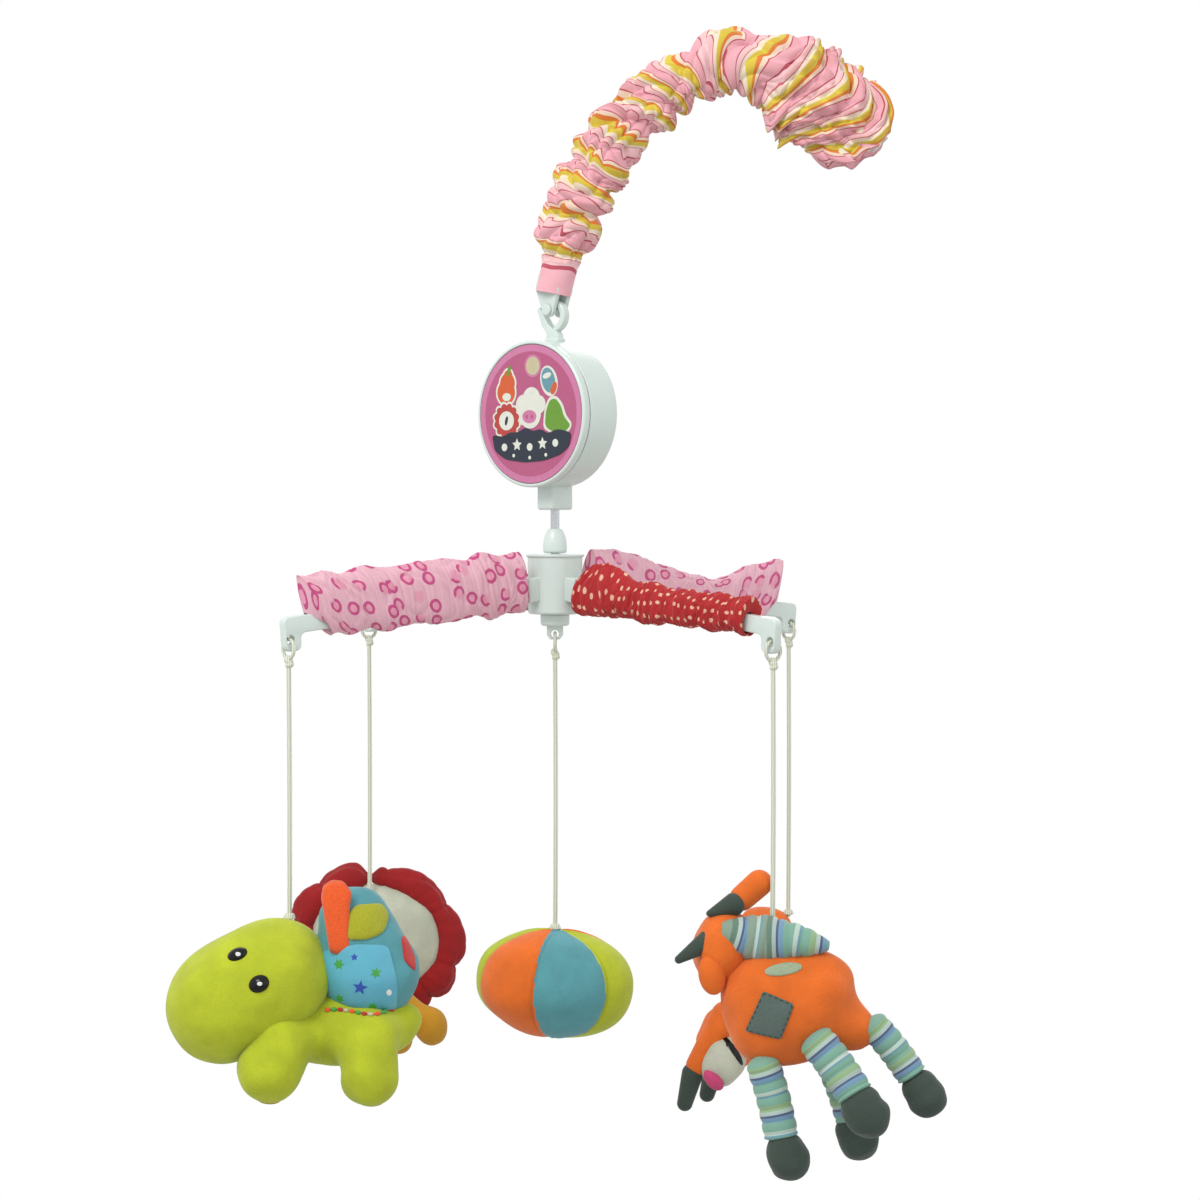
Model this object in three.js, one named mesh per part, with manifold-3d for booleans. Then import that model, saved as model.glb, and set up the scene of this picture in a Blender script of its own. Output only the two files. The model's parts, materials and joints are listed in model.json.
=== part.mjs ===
// Crib mobile: a fabric-covered arm carries a wind-up music box on a hook, and the box turns a
// carousel of four arms with five soft toys on cords.
// Millimetres, +Z up. The model is drawn round the carousel's axis, with Z = 0 level with the
// bottom of the music box. The exported group is then moved so that the origin is the centre of
// the arm's plug face, where a crib post takes it.
import * as THREE from 'three';
import { mergeVertices } from 'three/addons/utils/BufferGeometryUtils.js';
import Module from 'manifold-3d';

const wasm = await Module();
wasm.setup();

// ---------------------------------------------------------------- driving dimensions
const GAP = 0.3; // between pieces that touch
const BOX_YAW = THREE.MathUtils.degToRad(-42); // the music box faces left of the front
const CASE = { radius: 40, centreZ: 49, front: -20, back: 9, wall: 2.2 };
const SEAM_Y = -15; // where the front lid meets the back shell
const LABEL_RADIUS = 36;

const PIN = { z: 106.2, radius: 2 }; // the hook hangs on this pin
const HOOK = { ringZ: 103, mean: 7.2, bar: 3.4, thick: 5 };
const CLEVIS = { slot: 6, thick: 12, cheekRadius: 6, slotTop: 114.5, top: 126 };

const ARM_TUBE_RADIUS = 6;
const ARM_PATH = [ // the crib arm's centreline, x and z
  [1, 117.5], [9, 157], [25, 187], [47, 212], [74, 231], [104, 240], [135, 234], [157, 219], [171, 204],
];
const PLUG = { side: 10, length: 9, flange: 8 };
const SLEEVE = { // the striped sleeve: where it runs along the arm, as shares, and its half-width
  start: 0.075, end: 0.985, gap: 1.6,
  widths: [
    [0.075, 9.5], [0.2, 13.5], [0.33, 15], [0.45, 15.5], [0.6, 16.5], [0.72, 18.5], [0.85, 24], [0.985, 22.5],
  ],
};

const SHAFT_RADIUS = 2.5;
const HUB = { radius: 15, top: -27.5, bottom: -60.5, boreRadius: 2.9 };
const CAROUSEL_ARM = {
  yaw: THREE.MathUtils.degToRad(39.7), // of the front left arm, towards the viewer
  slope: THREE.MathUtils.degToRad(5.6),
  rootZ: -46, start: 8, end: 181, height: 9, thick: 5, legWidth: 10, legDrop: 13.5,
};
const LOOP = { radius: 5, cord: 0.9, holeRadius: 2.4, holeZ: -70, reach: 176 };
const CORD_RADIUS = 1.5;

const GEAR = { // modules, and tooth counts
  module: 1.1, smallModule: 0.9, crown: 26, shaft: 8, barrel: 32, cylinder: 9, wheel: 20, governor: 6,
};
const BARREL = { z: 57, radius: 15, front: -14.4, back: -7.7, wall: 1.4 };

// ---------------------------------------------------------------- materials
function finish(colour, roughness, metalness = 0) {
  return new THREE.MeshStandardMaterial({ color: colour, roughness, metalness });
}
const WHITE_PLASTIC = finish(0xd8e2da, 0.35);
const STEEL = finish(0xb9bdc0, 0.3, 1);
const BRASS = finish(0xb8964a, 0.35, 1);
const LABEL = finish(0xd0569a, 0.4);
const STRIPED_COTTON = finish(0xf0a8b4, 0.9);
const PINK_COTTON = finish(0xf3b6c8, 0.9);
const RED_COTTON = finish(0xc5161d, 0.9);
const CORD_WHITE = finish(0xc9ccbb, 0.8);
const LIME_PLUSH = finish(0xb9c52a, 0.95);
const TEAL_PLUSH = finish(0x5aa5a8, 0.95);
const ORANGE_PLUSH = finish(0xee6f2a, 0.95);
const RED_PLUSH = finish(0xb0151c, 0.95);
const CREAM_PLUSH = finish(0xd5d8c8, 0.95);
const MUSTARD_PLUSH = finish(0xc99a20, 0.95);
const MINT_KNIT = finish(0x8fc3ae, 0.95);

// ---------------------------------------------------------------- solids
function solidOf(geometry) {
  const bare = geometry.clone();
  bare.deleteAttribute('normal');
  bare.deleteAttribute('uv');
  const merged = mergeVertices(bare, 1e-4);
  const triVerts = new Uint32Array(merged.index.array);
  return new wasm.Manifold(new wasm.Mesh({
    numProp: 3,
    vertProperties: merged.attributes.position.array,
    triVerts,
  }));
}

function geometryOf(solid) {
  const mesh = solid.getMesh();
  const points = new Float32Array(mesh.numVert * 3);
  for (let i = 0; i < mesh.numVert; i += 1) {
    points.set(mesh.vertProperties.subarray(i * mesh.numProp, i * mesh.numProp + 3), i * 3);
  }
  const geometry = new THREE.BufferGeometry();
  geometry.setAttribute('position', new THREE.BufferAttribute(points, 3));
  geometry.setIndex(new THREE.BufferAttribute(new Uint32Array(mesh.triVerts), 1));
  geometry.computeVertexNormals();
  return geometry;
}

const join = (...geometries) => geometryOf(
  geometries.map(solidOf).reduce((whole, part) => whole.add(part)),
);
const cut = (geometry, ...tools) => geometryOf(
  tools.map(solidOf).reduce((whole, tool) => whole.subtract(tool), solidOf(geometry)),
);

function box(x0, x1, y0, y1, z0, z1) {
  return new THREE.BoxGeometry(x1 - x0, y1 - y0, z1 - z0)
    .translate((x0 + x1) / 2, (y0 + y1) / 2, (z0 + z1) / 2);
}

// A cylinder or cone from one point to another.
function rod(from, to, radius, endRadius = radius, sides = 16) {
  const a = new THREE.Vector3(...from);
  const b = new THREE.Vector3(...to);
  const turn = new THREE.Quaternion().setFromUnitVectors(
    new THREE.Vector3(0, 1, 0), b.clone().sub(a).normalize(),
  );
  return new THREE.CylinderGeometry(endRadius, radius, a.distanceTo(b), sides)
    .applyQuaternion(turn)
    .translate((a.x + b.x) / 2, (a.y + b.y) / 2, (a.z + b.z) / 2);
}

// A lathe profile of radius and height, turned about Z.
function turned(profile, sides = 20) {
  const points = profile.map(([r, z]) => new THREE.Vector2(r, z));
  return new THREE.LatheGeometry(points, sides).rotateX(Math.PI / 2);
}

// The same about Y, which is the music box's own axis.
function turnedAboutY(profile, sides = 40) {
  return new THREE.LatheGeometry(profile.map(([r, y]) => new THREE.Vector2(r, y)), sides);
}

// An egg-shaped stuffed part: its centre, its three half-sizes, and its tilt in degrees.
function blob(centre, halves, tilt = [0, 0, 0], across = 12, down = 9) {
  const turn = new THREE.Euler(...tilt.map(THREE.MathUtils.degToRad));
  return new THREE.SphereGeometry(1, across, down)
    .scale(...halves)
    .applyQuaternion(new THREE.Quaternion().setFromEuler(turn))
    .translate(...centre);
}

// A round-ended limb from one point to another.
function limb(from, to, radius, endRadius, sides = 8) {
  const length = new THREE.Vector3(...from).distanceTo(new THREE.Vector3(...to));
  const profile = [];
  const CAP_STEPS = 3;
  for (let i = 0; i <= CAP_STEPS; i += 1) {
    const t = (i / CAP_STEPS) * (Math.PI / 2);
    profile.push(new THREE.Vector2(radius * Math.sin(t), -radius * Math.cos(t)));
  }
  for (let i = 0; i <= CAP_STEPS; i += 1) {
    const t = (i / CAP_STEPS) * (Math.PI / 2);
    profile.push(new THREE.Vector2(endRadius * Math.cos(t), length + endRadius * Math.sin(t)));
  }
  profile[0].x = 0;
  profile[profile.length - 1].x = 0;
  const along = new THREE.Vector3(...to).sub(new THREE.Vector3(...from)).normalize();
  const turn = new THREE.Quaternion().setFromUnitVectors(new THREE.Vector3(0, 1, 0), along);
  return new THREE.LatheGeometry(profile, sides).applyQuaternion(turn).translate(...from);
}

// A closed tube wall: rings of outer and inner points, all with the same count.
function sleeve(outerRings, innerRings) {
  const rings = [...outerRings, ...innerRings.slice().reverse()];
  const sides = outerRings[0].length;
  const points = rings.flat().flatMap((p) => [p.x, p.y, p.z]);
  const index = [];
  for (let r = 0; r < rings.length; r += 1) {
    const next = (r + 1) % rings.length;
    for (let s = 0; s < sides; s += 1) {
      const [a, b] = [r * sides + s, r * sides + ((s + 1) % sides)];
      const [c, d] = [next * sides + s, next * sides + ((s + 1) % sides)];
      index.push(a, c, b, b, c, d);
    }
  }
  const geometry = new THREE.BufferGeometry();
  geometry.setAttribute('position', new THREE.Float32BufferAttribute(points, 3));
  geometry.setIndex(index);
  return geometry;
}

// The outline of a spur gear, with straight-flanked teeth thinned for backlash.
function gearShape(teeth, module, boreRadius = 0) {
  const pitch = (teeth * module) / 2;
  const step = (2 * Math.PI) / teeth;
  const BACKLASH = 0.8; // share of the pitch's half that a tooth fills at the pitch circle
  const half = (step / 4) * BACKLASH;
  const shape = new THREE.Shape();
  const at = (radius, angle) => [radius * Math.cos(angle), radius * Math.sin(angle)];
  for (let i = 0; i < teeth; i += 1) {
    const middle = i * step;
    const flank = [
      at(pitch - 1.15 * module, middle - half * 1.5), at(pitch + 0.1 * module, middle - half),
      at(pitch + 0.85 * module, middle - half * 0.45), at(pitch + 0.85 * module, middle + half * 0.45),
      at(pitch + 0.1 * module, middle + half), at(pitch - 1.15 * module, middle + half * 1.5),
    ];
    flank.forEach((p, k) => (i + k === 0 ? shape.moveTo(...p) : shape.lineTo(...p)));
  }
  shape.closePath();
  if (boreRadius) shape.holes.push(new THREE.Path().absarc(0, 0, boreRadius, 0, 2 * Math.PI, true));
  return shape;
}

// A flat shape drawn in x and z, given a thickness along Y from y0 to y1.
function plateXZ(shape, y0, y1, curveSegments = 12) {
  return new THREE.ExtrudeGeometry(shape, { depth: y1 - y0, bevelEnabled: false, curveSegments })
    .rotateX(Math.PI / 2)
    .translate(0, y1, 0);
}

// ---------------------------------------------------------------- the assembly
const mobile = new THREE.Group();

function add(name, geometry, material, parent = mobile) {
  const mesh = new THREE.Mesh(geometry, material);
  mesh.name = name;
  parent.add(mesh);
  return mesh;
}

// ---------------------------------------------------------------- crib arm
const armCurve = new THREE.CatmullRomCurve3(ARM_PATH.map(([x, z]) => new THREE.Vector3(x, 0, z)));

// A ring of points round the arm at a share of its length.
function armRing(share, radius, sides) {
  const centre = armCurve.getPointAt(share);
  const along = armCurve.getTangentAt(share);
  const across = new THREE.Vector3(0, 1, 0);
  const up = new THREE.Vector3().crossVectors(along, across);
  return Array.from({ length: sides }, (_, i) => {
    const angle = (i / sides) * 2 * Math.PI;
    return centre.clone()
      .addScaledVector(across, radius * Math.sin(angle))
      .addScaledVector(up, radius * Math.cos(angle));
  });
}

function buildArmTube() {
  const section = new THREE.Shape().absarc(0, 0, ARM_TUBE_RADIUS, 0, 2 * Math.PI);
  return new THREE.ExtrudeGeometry(section, { steps: 22, extrudePath: armCurve, curveSegments: 5 });
}

// The striped sleeve: narrow by the hook, puffed over the bend and widest at its far end.
function buildArmSleeve() {
  const SIDES = 12;
  const RINGS = 16;
  const shares = Array.from({ length: RINGS }, (_, i) => (
    SLEEVE.start + ((SLEEVE.end - SLEEVE.start) * i) / (RINGS - 1)
  ));
  const width = new THREE.SplineCurve(SLEEVE.widths.map(([share, r]) => new THREE.Vector2(share, r)));
  const radiusAt = (share) => width.getPoint((share - SLEEVE.start) / (SLEEVE.end - SLEEVE.start)).y;
  const outer = shares.map((share) => armRing(share, radiusAt(share), SIDES));
  const inner = shares.map((share) => armRing(share, ARM_TUBE_RADIUS + SLEEVE.gap, SIDES));
  return sleeve(outer, inner);
}

function buildPlug() {
  const end = armCurve.getPointAt(1);
  const along = armCurve.getTangentAt(1);
  const turn = new THREE.Quaternion().setFromUnitVectors(new THREE.Vector3(0, 0, 1), along);
  const flange = rod([0, 0, GAP], [0, 0, GAP + 2], PLUG.flange);
  const tenon = box(
    -PLUG.side / 2, PLUG.side / 2, -PLUG.side / 2, PLUG.side / 2, GAP + 1.5, GAP + 1.5 + PLUG.length,
  );
  const geometry = join(flange, tenon).applyQuaternion(turn).translate(end.x, end.y, end.z);
  const face = end.clone().addScaledVector(along, GAP + 1.5 + PLUG.length);
  return { geometry, face };
}
const plug = buildPlug();

function buildClevis() {
  const plate = new THREE.Shape();
  plate.absarc(0, PIN.z, CLEVIS.cheekRadius, Math.PI, 2 * Math.PI);
  plate.lineTo(8, 116);
  plate.lineTo(8, CLEVIS.top);
  plate.lineTo(-6.5, CLEVIS.top);
  plate.lineTo(-8, 114);
  plate.closePath();
  const half = CLEVIS.thick / 2;
  const block = plateXZ(plate, -half, half, 10);
  const slot = box(-20, 20, -CLEVIS.slot / 2, CLEVIS.slot / 2, 90, CLEVIS.slotTop);
  const pinHole = rod([0, -20, PIN.z], [0, 20, PIN.z], PIN.radius + GAP, PIN.radius + GAP, 12);
  return cut(block, slot, pinHole);
}

// The arm's end goes down into a socket in the clevis.
function armSocketTool() {
  const low = armCurve.getPointAt(0);
  const along = armCurve.getTangentAt(0);
  const from = low.clone().addScaledVector(along, -GAP);
  const to = low.clone().addScaledVector(along, 30);
  const radius = ARM_TUBE_RADIUS + GAP;
  return rod(from.toArray(), to.toArray(), radius, radius, 16);
}

function buildCribArm() {
  add('arm_tube', buildArmTube(), WHITE_PLASTIC);
  add('arm_plug', plug.geometry, WHITE_PLASTIC);
  add('arm_sleeve', buildArmSleeve(), STRIPED_COTTON);
  const yawed = new THREE.Group();
  yawed.rotation.z = BOX_YAW;
  mobile.add(yawed);
  const socket = armSocketTool().rotateZ(-BOX_YAW);
  add('arm_clevis', cut(buildClevis(), socket), WHITE_PLASTIC, yawed);
  const half = CLEVIS.thick / 2;
  const pinBody = rod([0, -half, PIN.z], [0, half, PIN.z], PIN.radius, PIN.radius, 12);
  const pinHead = rod([0, -half - 1.6, PIN.z], [0, -half - GAP, PIN.z], 3.2, 3.2, 12);
  const neck = rod([0, -half - 1, PIN.z], [0, -half + 1, PIN.z], PIN.radius, PIN.radius, 12);
  add('clevis_pin', join(pinBody, neck, pinHead), WHITE_PLASTIC, yawed);
}

// ---------------------------------------------------------------- music box
const musicBox = new THREE.Group();
musicBox.rotation.z = BOX_YAW;
mobile.add(musicBox);

const CASE_SCREWS = [50, 165, 290].map((degrees) => {
  const angle = THREE.MathUtils.degToRad(degrees);
  const CIRCLE = 32;
  return [CIRCLE * Math.cos(angle), CASE.centreZ + CIRCLE * Math.sin(angle)];
});

function buildFrontLid() {
  const { radius, front, wall, centreZ } = CASE;
  return turnedAboutY([
    [0, front + 1.4], [LABEL_RADIUS + 0.4, front + 1.4], [LABEL_RADIUS + 0.4, front],
    [radius - 1.2, front], [radius, front + 1.2], [radius, SEAM_Y], [radius - wall, SEAM_Y],
    [radius - wall, front + 3.2], [0, front + 3.2],
  ]).translate(0, 0, centreZ);
}

function buildBackShell() {
  const { radius, back, wall, centreZ } = CASE;
  const shell = turnedAboutY([
    [0, back - wall], [radius - wall, back - wall], [radius - wall, SEAM_Y + GAP],
    [radius, SEAM_Y + GAP], [radius, back - 2.5], [radius - 2.5, back], [0, back],
  ]).translate(0, 0, centreZ);
  const arborHole = rod([0, 0, BARREL.z], [0, 20, BARREL.z], 2.9);
  const shaftHole = rod([0, 0, -5], [0, 0, 30], 3);
  const screwHoles = CASE_SCREWS.flatMap(([x, z]) => [
    rod([x, 0, z], [x, 20, z], 1.8, 1.8, 10), rod([x, back - 1.2, z], [x, 20, z], 3.5, 3.5, 12),
  ]);
  return cut(shell, arborHole, shaftHole, ...screwHoles);
}

// The hook that hangs on the clevis pin: a post with an open ring and a splayed guide prong.
function buildBoxHook() {
  const inner = HOOK.mean - HOOK.bar / 2;
  const outer = HOOK.mean + HOOK.bar / 2;
  const ring = new THREE.Shape();
  const start = THREE.MathUtils.degToRad(-70);
  const end = THREE.MathUtils.degToRad(112);
  ring.absarc(0, HOOK.ringZ, outer, start, end);
  ring.absarc(0, HOOK.ringZ, inner, end, start, true);
  const half = HOOK.thick / 2;
  const prong = new THREE.Shape();
  prong.moveTo(-4.5, 93);
  prong.lineTo(1, 93);
  prong.lineTo(-3.2, 99);
  prong.lineTo(-9.6, 108);
  prong.lineTo(-11.6, 107);
  prong.lineTo(-8, 98);
  const post = box(-4.5, 4.5, -half, half, 85, 97);
  const foot = box(-8, 8, -5, 5, 84, 91.5);
  const caseRound = rod(
    [0, -30, CASE.centreZ], [0, 30, CASE.centreZ], CASE.radius + GAP, CASE.radius + GAP, 48,
  );
  return cut(join(plateXZ(ring, -half, half), plateXZ(prong, -half, half), post, foot), caseRound);
}

function buildOutletBoss() {
  const block = box(-6, 6, -8.5, 8.5, -3.3, 16);
  const caseRound = rod(
    [0, -30, CASE.centreZ], [0, 30, CASE.centreZ], CASE.radius + GAP, CASE.radius + GAP, 48,
  );
  const bore = rod([0, 0, -10], [0, 0, 30], SHAFT_RADIUS + 0.4);
  return cut(block, caseRound, bore);
}

function buildCaseScrew([x, z]) {
  const head = rod([x, CASE.back - 0.9, z], [x, CASE.back + 0.6, z], 3, 3, 12);
  const shank = rod([x, -12, z], [x, CASE.back - 0.5, z], 1.4, 1.4, 8);
  const cross = box(x - 2, x + 2, CASE.back, CASE.back + 2, z - 0.4, z + 0.4);
  return cut(join(head, shank), cross);
}

function buildMovementPlate() {
  const plate = rod([0, 5.5, CASE.centreZ], [0, 6.5, CASE.centreZ], 28, 28, 28);
  const arborHole = rod([0, 0, BARREL.z], [0, 20, BARREL.z], 2.9);
  const screwClear = CASE_SCREWS.map(([x, z]) => rod([x, 0, z], [x, 20, z], 5, 5, 12));
  return cut(plate, arborHole, ...screwClear);
}

// Where the driven wheels sit, in the music box's own x and z.
const CYLINDER_AT = (() => {
  const distance = (GEAR.module * (GEAR.barrel + GEAR.cylinder)) / 2;
  const angle = THREE.MathUtils.degToRad(-30);
  return [distance * Math.cos(angle), BARREL.z + distance * Math.sin(angle)];
})();
const GOVERNOR_AT = (() => {
  const distance = (GEAR.smallModule * (GEAR.wheel + GEAR.governor)) / 2;
  const angle = THREE.MathUtils.degToRad(-100);
  return [CYLINDER_AT[0] + distance * Math.cos(angle), CYLINDER_AT[1] + distance * Math.sin(angle)];
})();

// The angle that puts a tooth gap of the driven wheel on a tooth of its driver.
function meshedTurn(driverTeeth, drivenTeeth, driverTurn, from, to) {
  const angle = Math.atan2(to[1] - from[1], to[0] - from[0]);
  const driverStep = (2 * Math.PI) / driverTeeth;
  const drivenStep = (2 * Math.PI) / drivenTeeth;
  const phase = (((angle - driverTurn) / driverStep) % 1 + 1) % 1;
  return angle + Math.PI + drivenStep / 2 + phase * drivenStep;
}
const CYLINDER_TURN = meshedTurn(GEAR.barrel, GEAR.cylinder, 0, [0, BARREL.z], CYLINDER_AT);
const GOVERNOR_TURN = meshedTurn(GEAR.wheel, GEAR.governor, 0, CYLINDER_AT, GOVERNOR_AT);

// A gear wheel in the music box, turned in its own plane, at x and z, from y0 to y1.
function gearAt(teeth, module, turn, [x, z], y0, y1, bore = 0) {
  return plateXZ(gearShape(teeth, module, bore), y0, y1)
    .rotateY(-turn)
    .translate(x, 0, z);
}

function buildBarrel() {
  const { z, radius, front, back, wall } = BARREL;
  const bore = SHAFT_RADIUS + 0.4;
  const drum = turnedAboutY([
    [bore, back - wall], [radius - wall, back - wall], [radius - wall, front], [radius, front],
    [radius, back], [radius + 0.8, back], [radius + 0.8, back + 1.9], [bore, back + 1.9],
    [bore, back - wall],
  ], 24).translate(0, 0, z);
  const spur = gearAt(GEAR.barrel, GEAR.module, 0, [0, z], back - 2, back, radius - 0.5);
  const pitchRadius = (GEAR.crown * GEAR.module) / 2;
  const depth = (GEAR.shaft * GEAR.module) / 2; // from the shaft's axis to the crown's pitch plane
  const halfTooth = ((Math.PI * GEAR.module) / 4) * 0.72;
  const teeth = Array.from({ length: GEAR.crown }, (_, i) => {
    const tooth = new THREE.Shape();
    tooth.moveTo(-halfTooth * 1.6, back + 1.5);
    tooth.lineTo(halfTooth * 1.6, back + 1.5);
    tooth.lineTo(halfTooth * 0.45, -depth + 0.65 * GEAR.module);
    tooth.lineTo(-halfTooth * 0.45, -depth + 0.65 * GEAR.module);
    return new THREE.ExtrudeGeometry(tooth, { depth: 2.4, bevelEnabled: false })
      .translate(0, 0, -pitchRadius - 1.2)
      .rotateY(((i + 0.5) * 2 * Math.PI) / GEAR.crown)
      .translate(0, 0, z);
  });
  return join(drum, spur, ...teeth);
}

function buildMainspring() {
  const TURNS = 3;
  const STEPS = 42;
  const [start, end, thick] = [4.2, 12.6, 0.6];
  const spiral = new THREE.Shape();
  const at = (i, offset) => {
    const radius = start + ((end - start) * i) / STEPS + offset;
    const angle = (i / STEPS) * TURNS * 2 * Math.PI;
    return [radius * Math.cos(angle), radius * Math.sin(angle)];
  };
  for (let i = 0; i <= STEPS; i += 1) {
    if (i === 0) spiral.moveTo(...at(i, thick / 2));
    else spiral.lineTo(...at(i, thick / 2));
  }
  for (let i = STEPS; i >= 0; i -= 1) spiral.lineTo(...at(i, -thick / 2));
  return plateXZ(spiral, BARREL.front + 0.4, BARREL.back - BARREL.wall - 0.5)
    .translate(0, 0, BARREL.z);
}

function buildWindingArbor() {
  return rod([0, -16.2, BARREL.z], [0, CASE.back + 5, BARREL.z], SHAFT_RADIUS, SHAFT_RADIUS, 14);
}

function buildWindingKnob() {
  const base = CASE.back + 0.6;
  const disc = turnedAboutY([
    [0, base + 3.4], [8.5, base + 3.4], [9.5, base + 2.4], [9.5, base], [0, base],
  ].reverse(), 24).translate(0, 0, BARREL.z);
  const grip = box(-11, 11, base + 2, base + 12, BARREL.z - 2, BARREL.z + 2);
  const ends = [-11, 11].map((x) => rod([x, base + 2, BARREL.z], [x, base + 12, BARREL.z], 2.6, 2.6, 12));
  const boreRadius = SHAFT_RADIUS + 0.35;
  const socket = rod([0, 0, BARREL.z], [0, CASE.back + 5.4, BARREL.z], boreRadius, boreRadius, 14);
  return cut(join(disc, grip, ...ends), socket);
}

function buildCylinder() {
  const [x, z] = CYLINDER_AT;
  const drum = rod([x, -14.2, z], [x, -10.1, z], 5.4, 5.4, 20);
  const axle = rod([x, -16.4, z], [x, 4.7, z], 1.2, 1.2, 8);
  const pinion = gearAt(GEAR.cylinder, GEAR.module, CYLINDER_TURN, [x, z], BARREL.back - 2, BARREL.back);
  const wheel = gearAt(GEAR.wheel, GEAR.smallModule, 0, [x, z], -15.8, -14.6);
  const PIN_ROWS = 9;
  const pins = Array.from({ length: PIN_ROWS }, (_, i) => {
    const angle = i * 2.4; // the golden angle spreads the notes round the drum
    const y = -13.7 + (i % 4) * 1.05;
    const tip = [x + 5.9 * Math.cos(angle), y, z + 5.9 * Math.sin(angle)];
    const foot = [x + 4.5 * Math.cos(angle), y, z + 4.5 * Math.sin(angle)];
    return rod(foot, tip, 0.25, 0.2, 5);
  });
  return join(drum, axle, pinion, wheel, ...pins);
}

function buildGovernor() {
  const [x, z] = GOVERNOR_AT;
  const pinion = gearAt(GEAR.governor, GEAR.smallModule, GOVERNOR_TURN, [x, z], -15.9, -14.5);
  const axle = rod([x, -16.4, z], [x, 4.7, z], 0.8, 0.8, 8);
  const fan = box(x - 4.4, x + 4.4, -12, -5, z - 0.4, z + 0.4);
  return join(pinion, axle, fan);
}

function buildComb() {
  const [x, z] = CYLINDER_AT;
  const tip = x + 6.3;
  const teeth = Array.from({ length: 4 }, (_, i) => {
    const y = -14.1 + i * 1.05;
    return box(tip, tip + 7, y, y + 0.75, z - 0.4, z + 0.4);
  });
  const back = box(tip + 5.5, tip + 9.2, -14.1, -10.2, z - 0.4, z + 2.5);
  const leg = box(tip + 6, tip + 9, -12, 4.7, z - 6, z + 0.2);
  const web = box(tip + 6, tip + 9, -12, -9.5, z - 6, z + 2);
  return join(back, leg, web, ...teeth);
}

function buildMusicBox() {
  add('case_front', buildFrontLid(), WHITE_PLASTIC, musicBox);
  add('case_back', buildBackShell(), WHITE_PLASTIC, musicBox);
  const [labelFront, labelBack] = [0.3, 1.1].map((y) => [0, CASE.front + y, CASE.centreZ]);
  const label = rod(labelFront, labelBack, LABEL_RADIUS, LABEL_RADIUS, 36);
  add('label_disc', label, LABEL, musicBox);
  add('box_hook', buildBoxHook(), WHITE_PLASTIC, musicBox);
  add('outlet_boss', buildOutletBoss(), WHITE_PLASTIC, musicBox);
  CASE_SCREWS.forEach((at, i) => add(`case_screw_${i + 1}`, buildCaseScrew(at), STEEL, musicBox));
  add('movement_plate', buildMovementPlate(), BRASS, musicBox);
  add('tone_comb', buildComb(), STEEL, musicBox);
  add('spring_barrel', buildBarrel(), BRASS, musicBox);
  add('mainspring', buildMainspring(), STEEL, musicBox);
  add('winding_arbor', buildWindingArbor(), STEEL, musicBox);
  add('winding_knob', buildWindingKnob(), WHITE_PLASTIC, musicBox);
  add('pinned_cylinder', buildCylinder(), BRASS, musicBox);
  add('air_governor', buildGovernor(), STEEL, musicBox);
}

// ---------------------------------------------------------------- carousel
const FOOT_Z = BARREL.z - (GEAR.crown * GEAR.module) / 2; // where the shaft's pinion meets the crown

function buildOutputShaft() {
  const shaft = rod([0, 0, -63], [0, 0, FOOT_Z + 1.4], SHAFT_RADIUS, SHAFT_RADIUS, 14);
  const pinion = new THREE.ExtrudeGeometry(
    gearShape(GEAR.shaft, GEAR.module), { depth: 2.6, bevelEnabled: false },
  ).rotateZ(BOX_YAW - Math.PI / 2).translate(0, 0, FOOT_Z - 1.3);
  const collar = turned([[0, 11.8], [4.6, 11.8], [4.6, 14], [0, 14]], 16);
  return join(shaft, pinion, collar);
}

function buildHubDome() {
  return turned([
    [SHAFT_RADIUS + 0.4, -26.9], [6.6, -26.9], [6.6, -21.5], [5.7, -17.4], [3.7, -13.6],
    [SHAFT_RADIUS + 0.4, -13.6], [SHAFT_RADIUS + 0.4, -26.9],
  ], 24);
}

// Places a shape drawn along +X into the frame of one carousel arm.
function alongArm(geometry, turns) {
  return geometry
    .translate(-CAROUSEL_ARM.start, 0, 0)
    .rotateY(CAROUSEL_ARM.slope)
    .translate(CAROUSEL_ARM.start, 0, CAROUSEL_ARM.rootZ)
    .rotateZ(Math.PI + CAROUSEL_ARM.yaw + (turns * Math.PI) / 2);
}

function buildHub() {
  const { radius, top, bottom, boreRadius } = HUB;
  const core = turned([
    [0, bottom], [radius - 1, bottom], [radius, bottom + 1], [radius, top - 1.5],
    [radius + 1, top - 1.5], [radius + 1, top], [0, top],
  ]);
  const { height, thick, start } = CAROUSEL_ARM;
  const lugs = [0, 1, 2, 3].map((turns) => alongArm(
    box(10, 22, -thick / 2 - 2.2, thick / 2 + 2.2, -height / 2 - 2.2, height / 2 + 2.2), turns,
  ));
  const pockets = [0, 1, 2, 3].map((turns) => alongArm(
    box(start - GAP, 30, -thick / 2 - GAP, thick / 2 + GAP, -height / 2 - GAP, height / 2 + GAP), turns,
  ));
  const bore = rod([0, 0, -80], [0, 0, 0], boreRadius);
  return cut(join(core, ...lugs), ...pockets, bore);
}

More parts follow.
